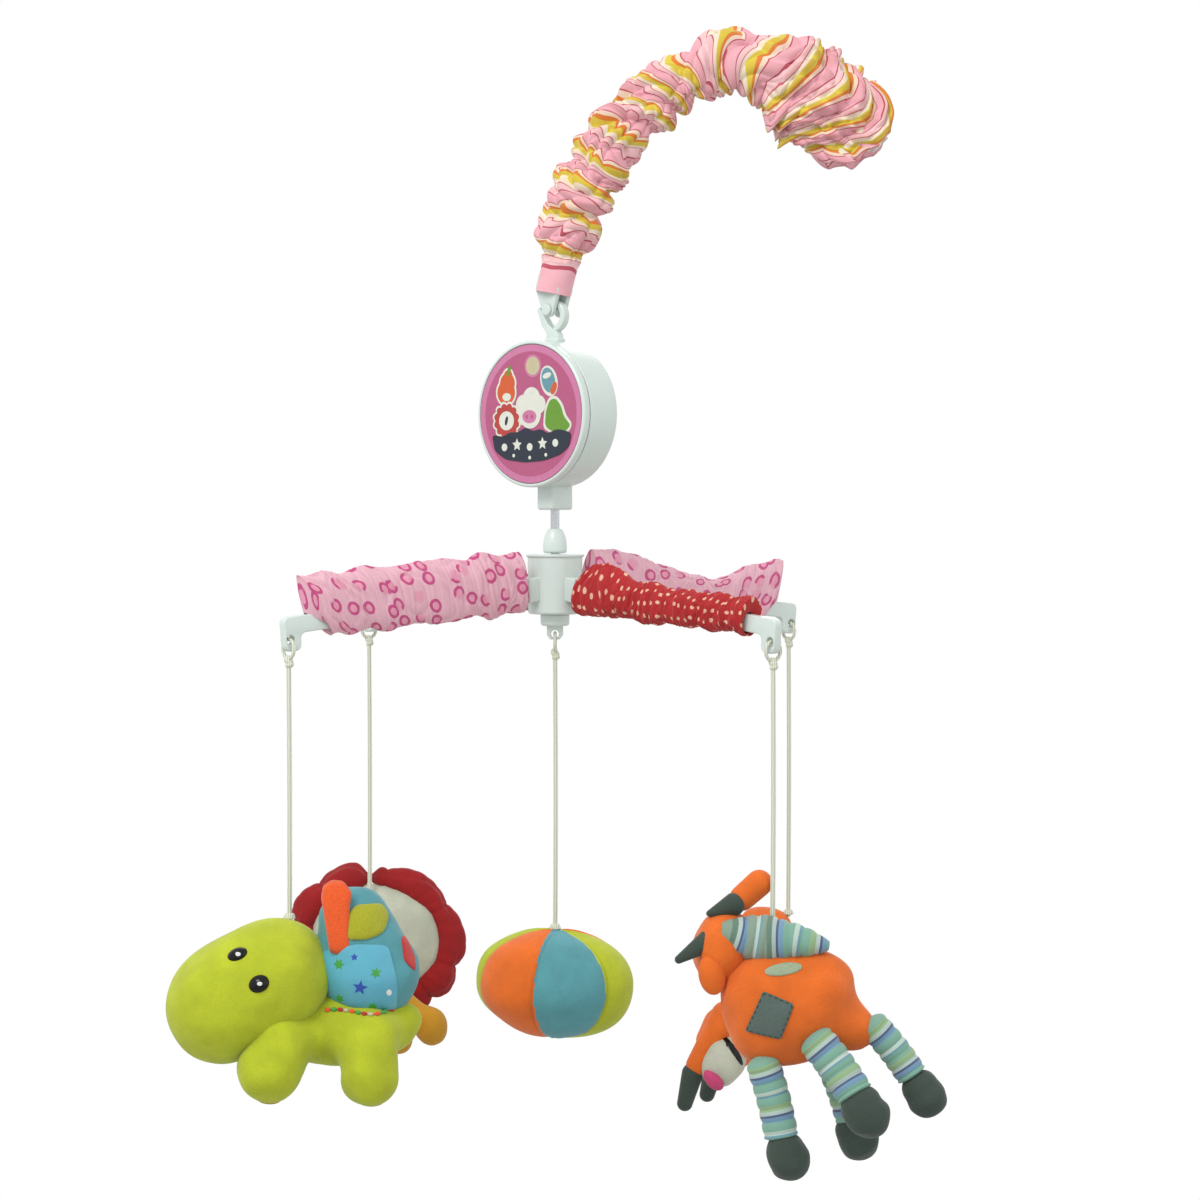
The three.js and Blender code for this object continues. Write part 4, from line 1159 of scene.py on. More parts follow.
def build_label():
    """A printed disc. Each shape's layer says how far it stands out, so that none is hidden."""
    profile = [(0, LABEL_Y), (LABEL_RADIUS, LABEL_Y), (LABEL_RADIUS, -18.9), (0, -18.9)]
    disc = turned("label_smooth", profile, 0.15, "Y", (0, 0, CASE_Z), 128, move=in_box)
    put(disc, "music_box", "label", "ink_pink", replaces=["label_disc"])
    hill = [(11, -7), (12, 2), (15, 7.5), (19, 8), (23, 4), (25, -2), (30, -6.5), (27, -9.5), (17, -10)]
    rim = [
        (9.6, -8), (10.8, 3), (14.2, 9), (19.5, 9.6), (24.4, 5), (26.4, -1), (31.5, -6), (28, -11),
        (16, -11),
    ]
    ground = [
        (-28.5, -11), (-26.5, -20), (-18, -24.8), (-4, -26.4), (10, -25.6), (22, -22.6), (29, -18),
        (30.5, -11), (26.5, -9.5), (20, -8.5), (13, -11), (8, -8.2), (2, -9.6), (-3, -7.2),
        (-9, -10), (-15, -9.8), (-21, -12.5),
    ]
    shapes = [
        ("field", outline_ellipse(34.0, 34.0, steps=96), 1, "rose"),
        ("sun_rim", oval(6.2, 6.2, 2, 26), 2, "pink"),
        ("sun", oval(5, 5, 2, 26), 3, "sun"),
        ("drop_rim", cloud([(-18, 12, 7.8), (-17, 17, 6.7), (-16.5, 21, 4.4)]), 2, "white"),
        ("drop", cloud([(-18, 12, 6.6), (-17, 17, 5.5), (-16.5, 21, 3.2)]), 3, "orange"),
        ("drop_leaf", oval(3.2, 1.2, -16, 23.5, 70), 4, "green"),
        ("drop_dot", oval(3.2, 2.2, -17.5, 9.5), 4, "white"),
        ("ring_rim", moved(scallops(9.6, 1.2, 12), -17.5, -3.5), 4, "white"),
        ("ring", moved(scallops(8.3, 1.3, 12), -17.5, -3.5), 5, "red"),
        ("ring_middle", oval(5.6, 5.2, -17.5, -3.5), 6, "white"),
        ("ring_seed", oval(1.0, 2.6, -17.5, -3.5, -15), 7, "navy"),
        ("cloud", cloud([(-5, 5, 5.5), (1, 8, 6.5), (6.5, 5, 5), (0, 0, 8), (-5.5, -1, 5)]), 3, "white"),
        ("cloud_spot", oval(5.2, 3.6, -0.5, -1.5), 4, "pink"),
        ("cloud_spot_left", oval(0.9, 1.2, -2.4, -1.5), 5, "rose"),
        ("cloud_spot_right", oval(0.9, 1.2, 1.4, -1.5), 5, "rose"),
        ("egg_rim", oval(6.2, 8.6, 14, 17.5, 20), 2, "white"),
        ("egg", oval(4.8, 7.0, 13.6, 18, 20), 3, "blue"),
        ("egg_spot", oval(1.9, 3.6, 17.6, 13.5, -25), 4, "orange"),
        ("egg_band", oval(3.2, 1.5, 12.6, 20.5, 15), 4, "white"),
        ("bell_rim", outline_polygon(rim, 3.0), 3, "white"),
        ("bell", outline_polygon(hill, 3.0), 4, "green"),
        ("ground", outline_polygon(ground, 2.5), 6, "navy"),
    ]
    for i, (x, z) in enumerate(((-19, -18), (-9.5, -16.8), (0, -18), (9.5, -16.2), (19, -16))):
        shape = outline_star(3.6, 1.7, tilt=90) if i % 2 else outline_ellipse(2.1, 2.1)
        shapes.append((f"ground_mark_{i + 1}", moved(shape, x, z), 7, "white"))
    for i, (x, z) in enumerate(((-12, -22.6), (0, -23.8), (12, -22.4))):
        shapes.append((f"ground_dot_{i + 1}", oval(1.0, 1.0, x, z), 7, "white"))
    for shape in shapes:
        ink(*shape)


def case_part(name, node, profile, rounding):
    """A lathed part of the music box's case, about its label's axis."""
    piece = turned(name, profile, rounding, "Y", (0, 0, CASE_Z), 160, move=in_box)
    hard(piece, "music_box", node)


def build_music_box():
    case_part("case_front_smooth", "case_front", [
        (0, -18.5), (38.1, -18.5), (38.1, -20), (39.2, -20), (40, -19.2), (40, -15.15),
        (37.8, -15.0), (0, -15.0),
    ], 0.8)
    case_part("case_back_smooth", "case_back", [
        (0, -14.0), (37.5, -14.0), (40, -14.75), (40, 6.5), (37.4, 9), (14, 9), (13, 8.4), (0, 8.4),
    ], 1.2)
    build_label()
    ring = arc((0, 103), 5.5, -70, 112, 30) + arc((0, 103), 8.9, 112, -70, 40)
    prong = [
        (4.5, 92.3), (4.5, 88), (-4.5, 88), (-4.5, 93.5), (-8, 98), (-11.6, 107), (-9.6, 108),
        (-3.2, 99), (0.3, 95.8),
    ]
    hook = plate("hook_shape", ring + prong, 2.5, 0.9, move=in_box)
    foot = block("hook_foot", (-5, -3.6, 85), (5, 3.6, 91.0), 1.2, in_box)
    hard(joined("hook_smooth", hook, foot), "music_box", "box_hook")
    boss = block("boss_smooth", (-6, -8.5, -3.3), (6, 8.5, 14), 1.6, in_box)
    hard(boss, "music_box", "outlet_boss")
    profile = [(0, 9.6), (9.5, 9.6), (9.5, 12.2), (8.3, 13.2), (0, 13.2)]
    disc = turned("knob_disc", profile, 0.7, "Y", (0, 0, 57), 72, move=in_box)
    grip = block("knob_grip", (-12.5, 11.5, 54.6), (12.5, 21, 59.4), 2.3, in_box)
    hard(joined("knob_smooth", disc, grip), "winding_key", "winding_knob")


# ---------------------------------------------------------------- carousel
ARM_NAMES = ("front_left", "front_right", "rear_right", "rear_left")
HOLE_RADIUS = 2.4


def build_hub():
    core = turned("hub_core", [
        (3.0, -60.5), (14, -60.5), (15, -59.5), (15, -29.2), (16, -28.9), (16, -27.5), (3.0, -27.5),
    ], 0.7)
    lugs = [
        block(f"hub_lug_{turns}", (9, -4.7, -6.7), (22, 4.7, 6.7), 1.1, along_arm(turns))
        for turns in range(4)
    ]
    hard(joined("hub_smooth", core, *lugs), "carousel", "hub")
    dome = turned("dome_smooth", [
        (2.9, -26.9), (6.6, -26.9), (6.6, -21.5), (5.7, -17.4), (3.7, -13.6), (2.9, -13.6),
    ], 1.4, steps=64)
    hard(dome, "carousel", "hub_dome")
    cap = turned("eyelet_cap", [(0, -60.8), (8, -60.8), (8, -66), (7, -67), (0, -67)], 0.5, steps=64)
    tongue = [(-4.5, -66), (-4.5, -72), (-2.6, -74.5), (2.6, -74.5), (4.5, -72), (4.5, -66)]
    hole = arc((0, EYELET_HOLE_Z), 2.2, 360, 15, 24)
    eye = plate("eyelet_tongue", tongue, 2.2, 0.5, holes=[hole])
    hard(joined("eyelet_smooth", cap, eye), "carousel", "hub_eyelet")


def build_arm_bar(turns):
    foot = ARM_END - 10
    corners = [
        (ARM_START, -4.5), (foot, -4.5), (foot, -13.5), (ARM_END, -13.5), (ARM_END, 4.5),
        (ARM_START, 4.5),
    ]
    outline = fillet(corners, 4.0, steps=8, closed=True)
    out, up = LOOP_REACH - ARM_START, HOLE_Z - ARM_ROOT_Z
    c, s = math.cos(ARM_SLOPE), math.sin(ARM_SLOPE)
    hole = arc((ARM_START + out * c - up * s, up * c + out * s), HOLE_RADIUS, 360, 15, 24)
    name = ARM_NAMES[turns]
    bar = plate(f"arm_{name}_smooth", outline, 2.5, 0.8, holes=[hole], move=along_arm(turns))
    hard(bar, "carousel", f"carousel_arm_{name}")


HEM_TUCK = 3.0  # how far each hem is turned in
HEM_HALVES = (3.1, 5.4)  # the hem's half-thickness and half-height where it meets the bar


RINGED = SimpleNamespace(
    cloth="rings", slot="pink_cotton",
    low=(-11.9, -8.4),  # the lower edge at the hub and at the outer end, from the bar's centre
    half_height=16.8, half_thick=6.4,
    slant=9.0,  # how far the outer end's upper corner reaches past the lower one
    pitch=21.0,  # between folds
    depth=0.7,  # of the folds
    fine=0.16,  # of the small gathers between them
    dents=0.14,  # of the cloth's unevenness
    wave=0.035,  # of the upper edge
)
DOTTED = SimpleNamespace(
    cloth="dots", slot="red_cotton", low=(-12.2, -5.8), half_height=9.6, half_thick=7.2, slant=1.0,
    pitch=5.2, depth=0.9, fine=0.5, dents=0.28, wave=0.06,
)
LEVEL_CREST = ((0.0, 1.0), (1.0, 1.0))  # share of a sleeve, and how its upper edge is drawn up there
SAGGING_CREST = (
    (0.0, 1.05), (0.12, 1.1), (0.3, 0.85), (0.5, 0.5), (0.64, 0.36), (0.78, 0.8), (0.95, 1.25),
    (1.0, 1.2),
)
RUFFLED_CREST = (
    (0.0, 1.2), (0.06, 1.75), (0.14, 1.95), (0.22, 1.85), (0.3, 1.35), (0.38, 1.1), (0.6, 1.0),
    (1.0, 0.95),
)
SLEEVE_START, SLEEVE_END = 23.5, 160


def build_gathered_sleeve(turns, sewn, seed, crest):
    """Cotton gathered on one arm of the carousel, with upright folds. crest is how its wavy upper
    edge is drawn up along the arm, and seed is for its folds."""
    rows, sides = 300, 120
    share = np.linspace(0, 1, rows)[:, None]
    angle = (math.pi + np.linspace(0, 2 * math.pi, sides + 1))[None, :]
    length = SLEEVE_END - SLEEVE_START
    up, front = np.cos(angle) * np.ones_like(share), np.sin(angle) * np.ones_like(share)
    wave = ripple(share, angle * 0, seed, waves=9, low=2, high=7)
    high = sewn.half_height * (1 + sewn.wave * wave)
    crest = np.array(crest)
    high = high * np.where(up > 0, np.interp(share, crest[:, 0], crest[:, 1]), 1.0)
    stray = 0.55 * ripple(share, angle, seed + 1, low=1, high=6)
    folds = billow(length * share / sewn.pitch + stray)
    stray = 0.8 * ripple(share, angle, seed + 2, low=4, high=14)
    small = billow(2.7 * length * share / sewn.pitch + stray)
    dents = ripple(share, angle, seed + 3, waves=12, low=4, high=16)
    out = sewn.depth * (folds - MEAN_FOLD) + sewn.fine * (small - MEAN_FOLD) * 2.0
    out = out + sewn.dents * dents
    calm = np.clip(np.minimum(share, 1 - share) / 0.03, 0, 1)
    out = out * (0.45 + 0.55 * calm)
    narrow = 1.0 - 0.45 * np.clip(up, 0, 1) ** 2
    y = sewn.half_thick * narrow * front + out * 1.3 * front
    low = sewn.low[0] + (sewn.low[1] - sewn.low[0]) * share
    z = low + sewn.half_height + high * np.sign(up) * np.abs(up) ** 0.72 + 0.7 * out * up
    x = SLEEVE_START + length * share + sewn.slant * up * share
    x = x + 0.6 * ripple(share, angle, seed + 4, low=1, high=5) * calm
    inward = np.linspace(0, 1, 11)[1:, None]

    def tuck(row, side):
        """Rows that turn the cloth in at one end, down to the bar."""
        ex, ey, ez = (values[row][None, :] for values in (x, y, z))
        tx = ex + side * (0.7 * np.sin(inward * math.pi * 0.6) - HEM_TUCK * inward ** 2)
        share_in = inward ** 1.4
        ty = ey + (HEM_HALVES[0] * front[row] - ey) * share_in
        tz = ez + (HEM_HALVES[1] * up[row] - ez) * share_in
        return tx, ty, tz

    head, tail = tuck(0, -1.0), tuck(-1, 1.0)
    grid = [np.concatenate((h[::-1], m, t)) for h, m, t in zip(head, (x, y, z), tail)]
    local = np.stack(grid, axis=2)
    steps = np.linalg.norm(np.diff(local, axis=0), axis=2).mean(axis=1)
    drawn = running(steps)[:, None] * np.ones_like(angle)
    girth = np.linalg.norm(np.diff(local, axis=1), axis=2).mean(axis=0)
    around = running(girth)
    uvs = np.stack((np.broadcast_to(around[None, :], drawn.shape), drawn), axis=2).reshape(-1, 2) * MM
    points = along_arm(turns)(local.reshape(-1, 3))
    name = ARM_NAMES[turns]
    faces = grid_faces(len(drawn), sides + 1, closed_columns=False)
    sleeve = mesh_object(f"sleeve_{name}_cloth", points, faces, uvs)
    mark_hollow_shade(sleeve, 1.2)
    put(sleeve, "carousel", sewn.slot, sewn.cloth, replaces=[f"arm_sleeve_{name}"])


def build_carousel():
    build_hub()
    for turns in range(4):
        build_arm_bar(turns)
    for sleeve in (
        (0, RINGED, 41, LEVEL_CREST), (2, RINGED, 57, SAGGING_CREST),
        (1, DOTTED, 71, RUFFLED_CREST), (3, DOTTED, 83, RUFFLED_CREST),
    ):
        build_gathered_sleeve(*sleeve)


# ---------------------------------------------------------------- toys and their cords
PATCH_DEPTH = -60.0  # from a toy's middle, well in front of it


class Toy:
    """A toy's place, and short ways to add pieces to it. The place is its arm, the height it is drawn
    from, the height its cord ends at, and how far it is moved sideways so that it balances."""

    def __init__(self, name, turns, z, top, balance):
        self.name = name
        self.turn = 0.0 if turns is None else arm_angle(turns)
        reach = 0.0 if turns is None else LOOP_REACH
        self.hole = np.array((reach * math.cos(self.turn), reach * math.sin(self.turn), HOLE_Z))
        if turns is None:
            self.hole[2] = EYELET_HOLE_Z
        self.top = top
        self.at = np.array((self.hole[0] + balance[0], self.hole[1] + balance[1], z))

    def put(self, piece, slot, *materials, replaces=()):
        return put(piece, self.name, slot, *materials, replaces=replaces)

    def soft(self, name, lumps, material, slot=None, fill=0.8, replaces=(), **how):
        """A stuffed piece of plush, in the material of its colour."""
        piece = stuffed(f"{self.name}_{name}", lumps, self.at, **how)
        self.put(piece, slot or material + "_plush", material, replaces=replaces)
        return piece

    def patch(self, name, target, outline, slot, material, facing=(0, -1, 0), at=None, **how):
        """A patch whose outline is drawn in the toy's own x and z, or round the point at."""
        outline = np.asarray(outline, float)
        if at is None:
            middle = outline.mean(axis=0)
            outline = outline - middle
            at = (middle[0], PATCH_DEPTH, middle[1])
        spot = self.at + np.array(at)
        piece = applique(f"{self.name}_{name}", target, outline, spot, facing, **how)
        self.put(piece, slot, material)
        return piece

    def eye(self, number, target, slot, outline, at, glint, glint_at, facing, **how):
        """A raised black eye, and the glint on it."""
        eye = self.patch(
            f"eye_{number}", target, outline, slot, "black", at=at, facing=facing, **how,
        )
        self.patch(
            f"eye_glint_{number}", surface_of(eye), glint, slot, "white", at=glint_at,
            facing=facing, thick=0.15, rings=4,
        )


CORD_RADIUS, CORD_POINTS, CORD_DRIFT = 1.3, 12, 0.35
LOOP_RADIUS, LOOP_CORD_RADIUS, LOOP_STEPS, LOOP_SIDES = 5.0, 0.95, 48, 14
CORD_START = 4.5  # how far below the knot's middle the cord leaves it
CORD_SINK = 3.0  # how far the cord goes on into the toy


def hang(toy):
    """The knotted loop through the arm's hole, and the cord down to the toy."""
    ring_z = toy.hole[2] - LOOP_RADIUS + 0.5
    centre = np.array((toy.hole[0], toy.hole[1], ring_z))
    side = np.array((-math.sin(toy.turn), math.cos(toy.turn), 0.0))
    normal = np.cross(side, (0, 0, 1.0))
    rows = []
    for a in np.linspace(0, 2 * math.pi, LOOP_STEPS, endpoint=False):
        out = side * math.sin(a) + np.array((0, 0, 1.0)) * math.cos(a)
        for b in turn_angles(LOOP_SIDES):
            reach = LOOP_RADIUS + LOOP_CORD_RADIUS * math.cos(b)
            rows.append(centre + out * reach + normal * LOOP_CORD_RADIUS * math.sin(b))
    ring = mesh_object("ring", np.array(rows), grid_faces(LOOP_STEPS, LOOP_SIDES, closed_rows=True))
    knot_z = ring_z - LOOP_RADIUS
    lumps = [
        Lump((0, 0, -1.2), (2.5, 2.3, 1.7), (12, 20, 0)),
        Lump((0.5, 0, -3.4), (2.3, 2.4, 1.6), (-10, -16, 30)),
        Lump((-0.3, 0.2, 0.4), (1.8, 2.0, 1.3)),
    ]
    knot = stuffed("knot", lumps, (centre[0], centre[1], knot_z), 0.6, 0.45)
    loop = joined(f"{toy.name}_loop_knotted", ring, knot)
    mend(loop)
    put(loop, f"{toy.name}_loop", "cord", "cord", replaces=[f"{toy.name}_loop"])
    start, end = knot_z - CORD_START, toy.top - CORD_SINK
    heights = np.linspace(start, end, CORD_POINTS)
    drift = CORD_DRIFT * np.sin(np.linspace(0, math.pi, CORD_POINTS))
    line = np.stack((centre[0] + drift, np.full(CORD_POINTS, centre[1]), heights), axis=1)
    curve = bpy.data.curves.new(f"{toy.name}_cord_line", "CURVE")
    curve.dimensions = "3D"
    curve.bevel_depth = CORD_RADIUS * MM
    curve.bevel_resolution = 5
    curve.use_fill_caps = True
    spline = curve.splines.new("POLY")
    spline.points.add(len(line) - 1)
    for point, spot in zip(spline.points, world(line)):
        point.co = (*spot, 1.0)
    cord = new_object(f"{toy.name}_cord_braid", curve)
    put(cord, f"{toy.name}_cord", "cord", "cord", replaces=[f"{toy.name}_cord"])
    world(line[0]).tolist()
    seat = turned(
        f"{toy.name}_cord_seat", [(0, 1.6), (2.4, 1.2), (3.4, -1.6), (0, -2.2)], 0.8,
        centre=(centre[0], centre[1], toy.top), steps=24,
    )
    put(seat, toy.name, "cord", "cord")


# ---------------------------------------------------------------- ball
BALL_CENTRE = np.array((1, 0, -31.0))
FIRST_SEAM = -16.4 - 90.0  # degrees; the nearest seam to the front
GORE = math.pi / 3


def build_ball(toy):
    """A flattened ball sewn from six gores, in three colours."""
    halves = np.array((44.5, 41.0, 31.2))
    rows, sides = 110, 240
    polar = np.linspace(0, math.pi, rows)[1:-1, None]
    azimuth = turn_angles(sides)[None, :]
    first = math.radians(FIRST_SEAM)
    gore = (azimuth - first) / GORE
    puff = np.abs(np.sin(math.pi * gore)) ** 0.55
    pole = np.sin(polar)
    swell = 0.935 + 0.065 * puff * pole ** 0.6
    pucker = 0.012 * np.sin(24 * azimuth + 3 * np.sin(azimuth * 2)) * np.exp(-((pole / 0.35) ** 2))
    slack = 0.008 * ripple(polar / math.pi, azimuth, 91, waves=10, low=1, high=4)
    grow = swell + pucker + slack
    unit = np.stack((
        np.sin(polar) * np.cos(azimuth), np.sin(polar) * np.sin(azimuth),
        np.cos(polar) * np.ones_like(azimuth),
    ), axis=2)
    points = (unit * grow[..., None] * halves).reshape(-1, 3)
    ends = np.array([[0, 0, halves[2] * 0.9], [0, 0, -halves[2] * 0.9]])
    points = np.vstack((points, ends)) @ rotation((0, 5, 0)).T + BALL_CENTRE + toy.at
    inner = rows - 2
    faces = [tuple(reversed(f)) for f in grid_faces(inner, sides)]
    top, bottom = inner * sides, inner * sides + 1
    faces += [(c, (c + 1) % sides, top) for c in range(sides)]
    last = (inner - 1) * sides
    faces += [(last + (c + 1) % sides, last + c, bottom) for c in range(sides)]
    ball = mesh_object("ball_sewn", points, faces)
    toy.put(ball, "teal_plush", "teal", "lime", "orange", replaces=["ball"])
    for polygon in ball.data.polygons:
        corners = [v for v in polygon.vertices if v < top]
        spot = np.mean([points[v] - toy.at - BALL_CENTRE for v in corners], axis=0)
        turn = math.atan2(spot[1], spot[0]) - first
        polygon.material_index = int(math.floor(turn / GORE)) % 3
    mark_hollow_shade(ball, 1.5)


# ---------------------------------------------------------------- turtle
STRAP = (  # x and z of its corners
    (19.5, 13), (20.5, 19), (25, 22), (31, 21.5), (35.5, 16), (34.5, 6), (35.5, -14),
    (29, -16.5), (24.5, -15),
)
STRAP_CENTRE, STRAP_FACING, STRAP_HALF = (28.5, -20.5, 2.5), (-0.12, -1, 0.1), 2.6


def build_strap(toy):
    """A flat stuffed strip that stands up the front of the shell, thinner towards its edge."""
    outline = dense(outline_polygon(STRAP, 1.6), 1.2)
    facing, right, upward = facing_frame(STRAP_FACING)
    middle = outline.mean(axis=0)
    rings, count = 7, len(outline)
    points = []
    for side in (1, -1):
        for k in range(rings, -1, -1):
            share = k / rings
            rise = side * STRAP_HALF * math.sqrt(max(0.0, 1 - share ** 3))
            for x, z in (middle + (outline - middle) * share if k else [middle]):
                spot = Vector(toy.at + np.array(STRAP_CENTRE, float))
                spot = spot + right * (x - middle[0]) + upward * (z - middle[1])
                points.append(spot + facing * rise)
    tip, last = rings * count, (rings - 1) * count
    sheet = grid_faces(rings, count)
    sheet += [(last + c, last + (c + 1) % count, tip) for c in range(count)]
    faces = sheet + [tuple(tip + 1 + i for i in reversed(f)) for f in sheet]
    piece = mesh_object(f"{toy.name}_strap", np.array(points), faces)
    mend(piece, merge=True)
    toy.put(piece, "teal_plush", "vivid")


def build_turtle(toy):
    """A lime turtle facing left, with a teal shell that wears felt and satin patches."""
    head = toy.soft("head_plush", [
        Lump((-32, -13, -44), (27.5, 30, 30)), Lump((-4, -9, -29), (29, 32, 29)),
    ], "lime", blend=22, uneven=(3, 30, 0.5),
        replaces=["turtle_head"], fill=0.9)
    body = toy.soft("body_plush", [
        Lump((28, -2, -57), (38, 23, 20)),
        Roll((0, -24, -62), (-5.5, -28, -74), 16, 16.8), Roll((0, 14, -60), (-6, 18, -74), 14),
        Roll((45, -20, -60), (45, -24, -79.5), 14.8, 14.8), Roll((42, 16, -60), (41, 20, -76), 13),
        Roll((56, -2, -57), (64, -2, -53), 7.0, 5.6),
    ], "lime", blend=9, uneven=(5, 22, 0.5), replaces=["turtle_body"])
    shell = toy.soft("shell_plush", [
        Lump((36, -3, -5), (19, 18, 21)), Lump((43.5, -3, -28), (26, 22.5, 24)),
    ], "teal", blend=14, uneven=(9, 20, 0.5), replaces=["turtle_shell"])
    skull, dome, underside = surface_of(head), surface_of(shell), surface_of(body)
    eyes = ((-20.5, -13.6, 5.2, 3.0, 20), (-9.2, -28.4, 5.3, 4.3, 25))
    for i, (x, z, *size) in enumerate(eyes):
        toy.eye(
            i + 1, skull, "lime_plush", outline_ellipse(*size), (x, -44, z),
            outline_ellipse(1.3, 1.0), (x + 0.6, -46, z + 0.4), (0.05, -1, 0.12), thick=0.5,
            crown=2.2, rings=10,
        )
    square = outline_polygon([(20, -16), (38, -11), (54, -12), (59, -30), (58, -47), (20, -46)], 4)
    panel = toy.patch("satin_panel", dome, square, "teal_plush", "satin", thick=1.0, crown=0.8)
    cloth = surface_of(panel)
    marks = (
        ("star_1", outline_star(4.0, 1.8, tilt=80), (40.5, -33), "ink_star"),
        ("star_2", outline_star(2.0, 1.0, tilt=20), (37.5, -17.5), "ink_star"),
        ("spot_1", outline_star(3.0, 1.6, 6), (29.5, -21.5), "ink_leaf"),
        ("spot_2", outline_star(2.9, 1.5, 6, 20), (48.5, -25.5), "ink_leaf"),
        ("spot_3", outline_star(2.6, 1.4, 6, 10), (46.5, -43.5), "ink_leaf"),
        ("spot_4", outline_star(2.6, 1.3, 6, 40), (29.5, -39.5), "ink_leaf"),
        ("dot_1", outline_ellipse(1.3, 1.6), (55, -36), "white"),
    )
    for name, outline, (x, z), material in marks:
        toy.patch(
            name, cloth, outline, "teal_plush", material, at=(x, -44, z), thick=0.16, sink=0.2,
            rings=4,
        )
    build_strap(toy)
    blot = outline_polygon([(34, 4), (38, 8), (50, 8), (54, 2), (52, -6), (44, -9), (34, -9)], 3)
    toy.patch("shoulder_patch", dome, blot, "teal_plush", "lime_felt", thick=1.2, crown=1.2)
    leaf = outline_polygon([(-4, -2), (-3, 8), (1, 9), (5, -2), (3, -9), (-2, -5)], 2)
    toy.patch(
        "leaf_patch", dome, leaf, "teal_plush", "red_felt", at=(65.5, -14, -18),
        facing=(0.55, -1, 0), thick=0.9,
    )
    for i, (x, y, z) in enumerate(((-6, -31, -100), (46, -25, -100))):
        toy.patch(
            f"sole_{i + 1}", underside, outline_ellipse(5.5, 3.2), "lime_plush", "mustard", at=(x, y, z),
            facing=(0, -0.35, -1), up=(0, 1, 0), thick=0.4,
        )
    hem = surface_of(body, shell)
    for i, material in enumerate(("vivid", "ink_leaf", "red_felt", "ink_sun")):
        line = [(x, -46.0 - 0.8 * math.sin(x / 6)) for x in np.arange(22 + 3.2 * i, 60, 0.5)]
        thread = dashes(f"{toy.name}_piping_{i + 1}", hem, line, toy.at, 1.1, 3.0, 12.8)
        toy.put(thread, "teal_plush", material)


DASH_ROWS, DASH_SIDES = 7, 10


def dashes(name, target, line, at, radius, length, spacing):
    """Short padded stitches of piping along a line drawn in x and z, on the front of a surface."""
    line = np.array(line)
    steps = running(np.linalg.norm(np.diff(line, axis=0), axis=1))
    points, faces = [], []
    start = 0.0
    while start + length < steps[-1]:
        run = []
        for s in np.linspace(start, start + length, DASH_ROWS):
            x, z = (np.interp(s, steps, line[:, i]) for i in (0, 1))
            spot = Vector(np.array((x, -90.0, z)) + at)
            hit, normal, _, _ = target.ray_cast(spot, Vector((0, 1, 0)))
            if hit is not None:
                run.append((hit, normal))
        start += spacing
        if len(run) < DASH_ROWS:
            continue
        base = len(points)
        along = (run[-1][0] - run[0][0]).normalized()
        for i, (hit, normal) in enumerate(run):
            side = along.cross(normal).normalized()
            size = radius * math.sqrt(max(0.05, 1 - (abs(i - DASH_ROWS // 2) / 3.2) ** 2))
            points += ring_points(hit + normal * 0.5, side, normal, size, DASH_SIDES)
        faces += rod_faces(base, DASH_ROWS, DASH_SIDES)
    return mesh_object(name, np.array(points), faces)


# ---------------------------------------------------------------- lion
def build_mane(toy):
    """A ruffled ring of velour round the face, dented at the top where the cord passes."""
    around, section = 420, 40
    angle = np.linspace(0, 2 * math.pi, around, endpoint=False)[:, None]
    turn = turn_angles(section)[None, :]
    stray = 0.22 * np.sin(2 * angle + 0.6), 0.14 * np.sin(3 * angle + 2.2)
    lobes = billow(8 * angle / (2 * math.pi) + stray[0] + stray[1], 0.55)
    stray = 0.3 * np.sin(4 * angle + 2), 0.3 * np.sin(turn + angle)
    pleats = billow(31 * angle / (2 * math.pi) + stray[0] + stray[1], 0.8)
    groove = billow(0.5 + 2.5 * turn / math.pi + 0.3 * np.sin(5 * angle), 0.8)
    notch = 1 - 0.8 * np.exp(-(((angle - math.pi / 2) - 0.25) / 0.10) ** 2)
    large = 1 + 0.22 * np.exp(-(((angle - math.radians(322)) / 0.32) ** 2))
    deep = 8.0 * (0.78 + 0.22 * lobes) * notch + 0.3 * (pleats - 0.6)
    wide = 7.6 * (0.74 + 0.26 * lobes) * notch * large + 0.3 * (pleats - 0.6) + 1.5 * (groove - 0.6)
    out = wide * np.cos(turn)
    flare = 1 + 0.35 * np.maximum(np.cos(turn), 0) * lobes
    x = (43.5 + out * flare) * np.cos(angle)
    z = (35.5 + out * flare) * np.sin(angle)
    y = deep * np.sin(turn) + 1.5 * np.sin(2 * angle)
    local = np.stack((x, y, z), axis=2).reshape(-1, 3) @ rotation((0, 12, 0)).T
    points = local + np.array((4, 5, -32.0)) + toy.at
    piece = mesh_object("lion_mane_plush", points, grid_faces(around, section, closed_rows=True))
    mend(piece)
    mark_hollow_shade(piece, 1.6)
    toy.put(piece, "red_plush", "red", replaces=["lion_mane"])


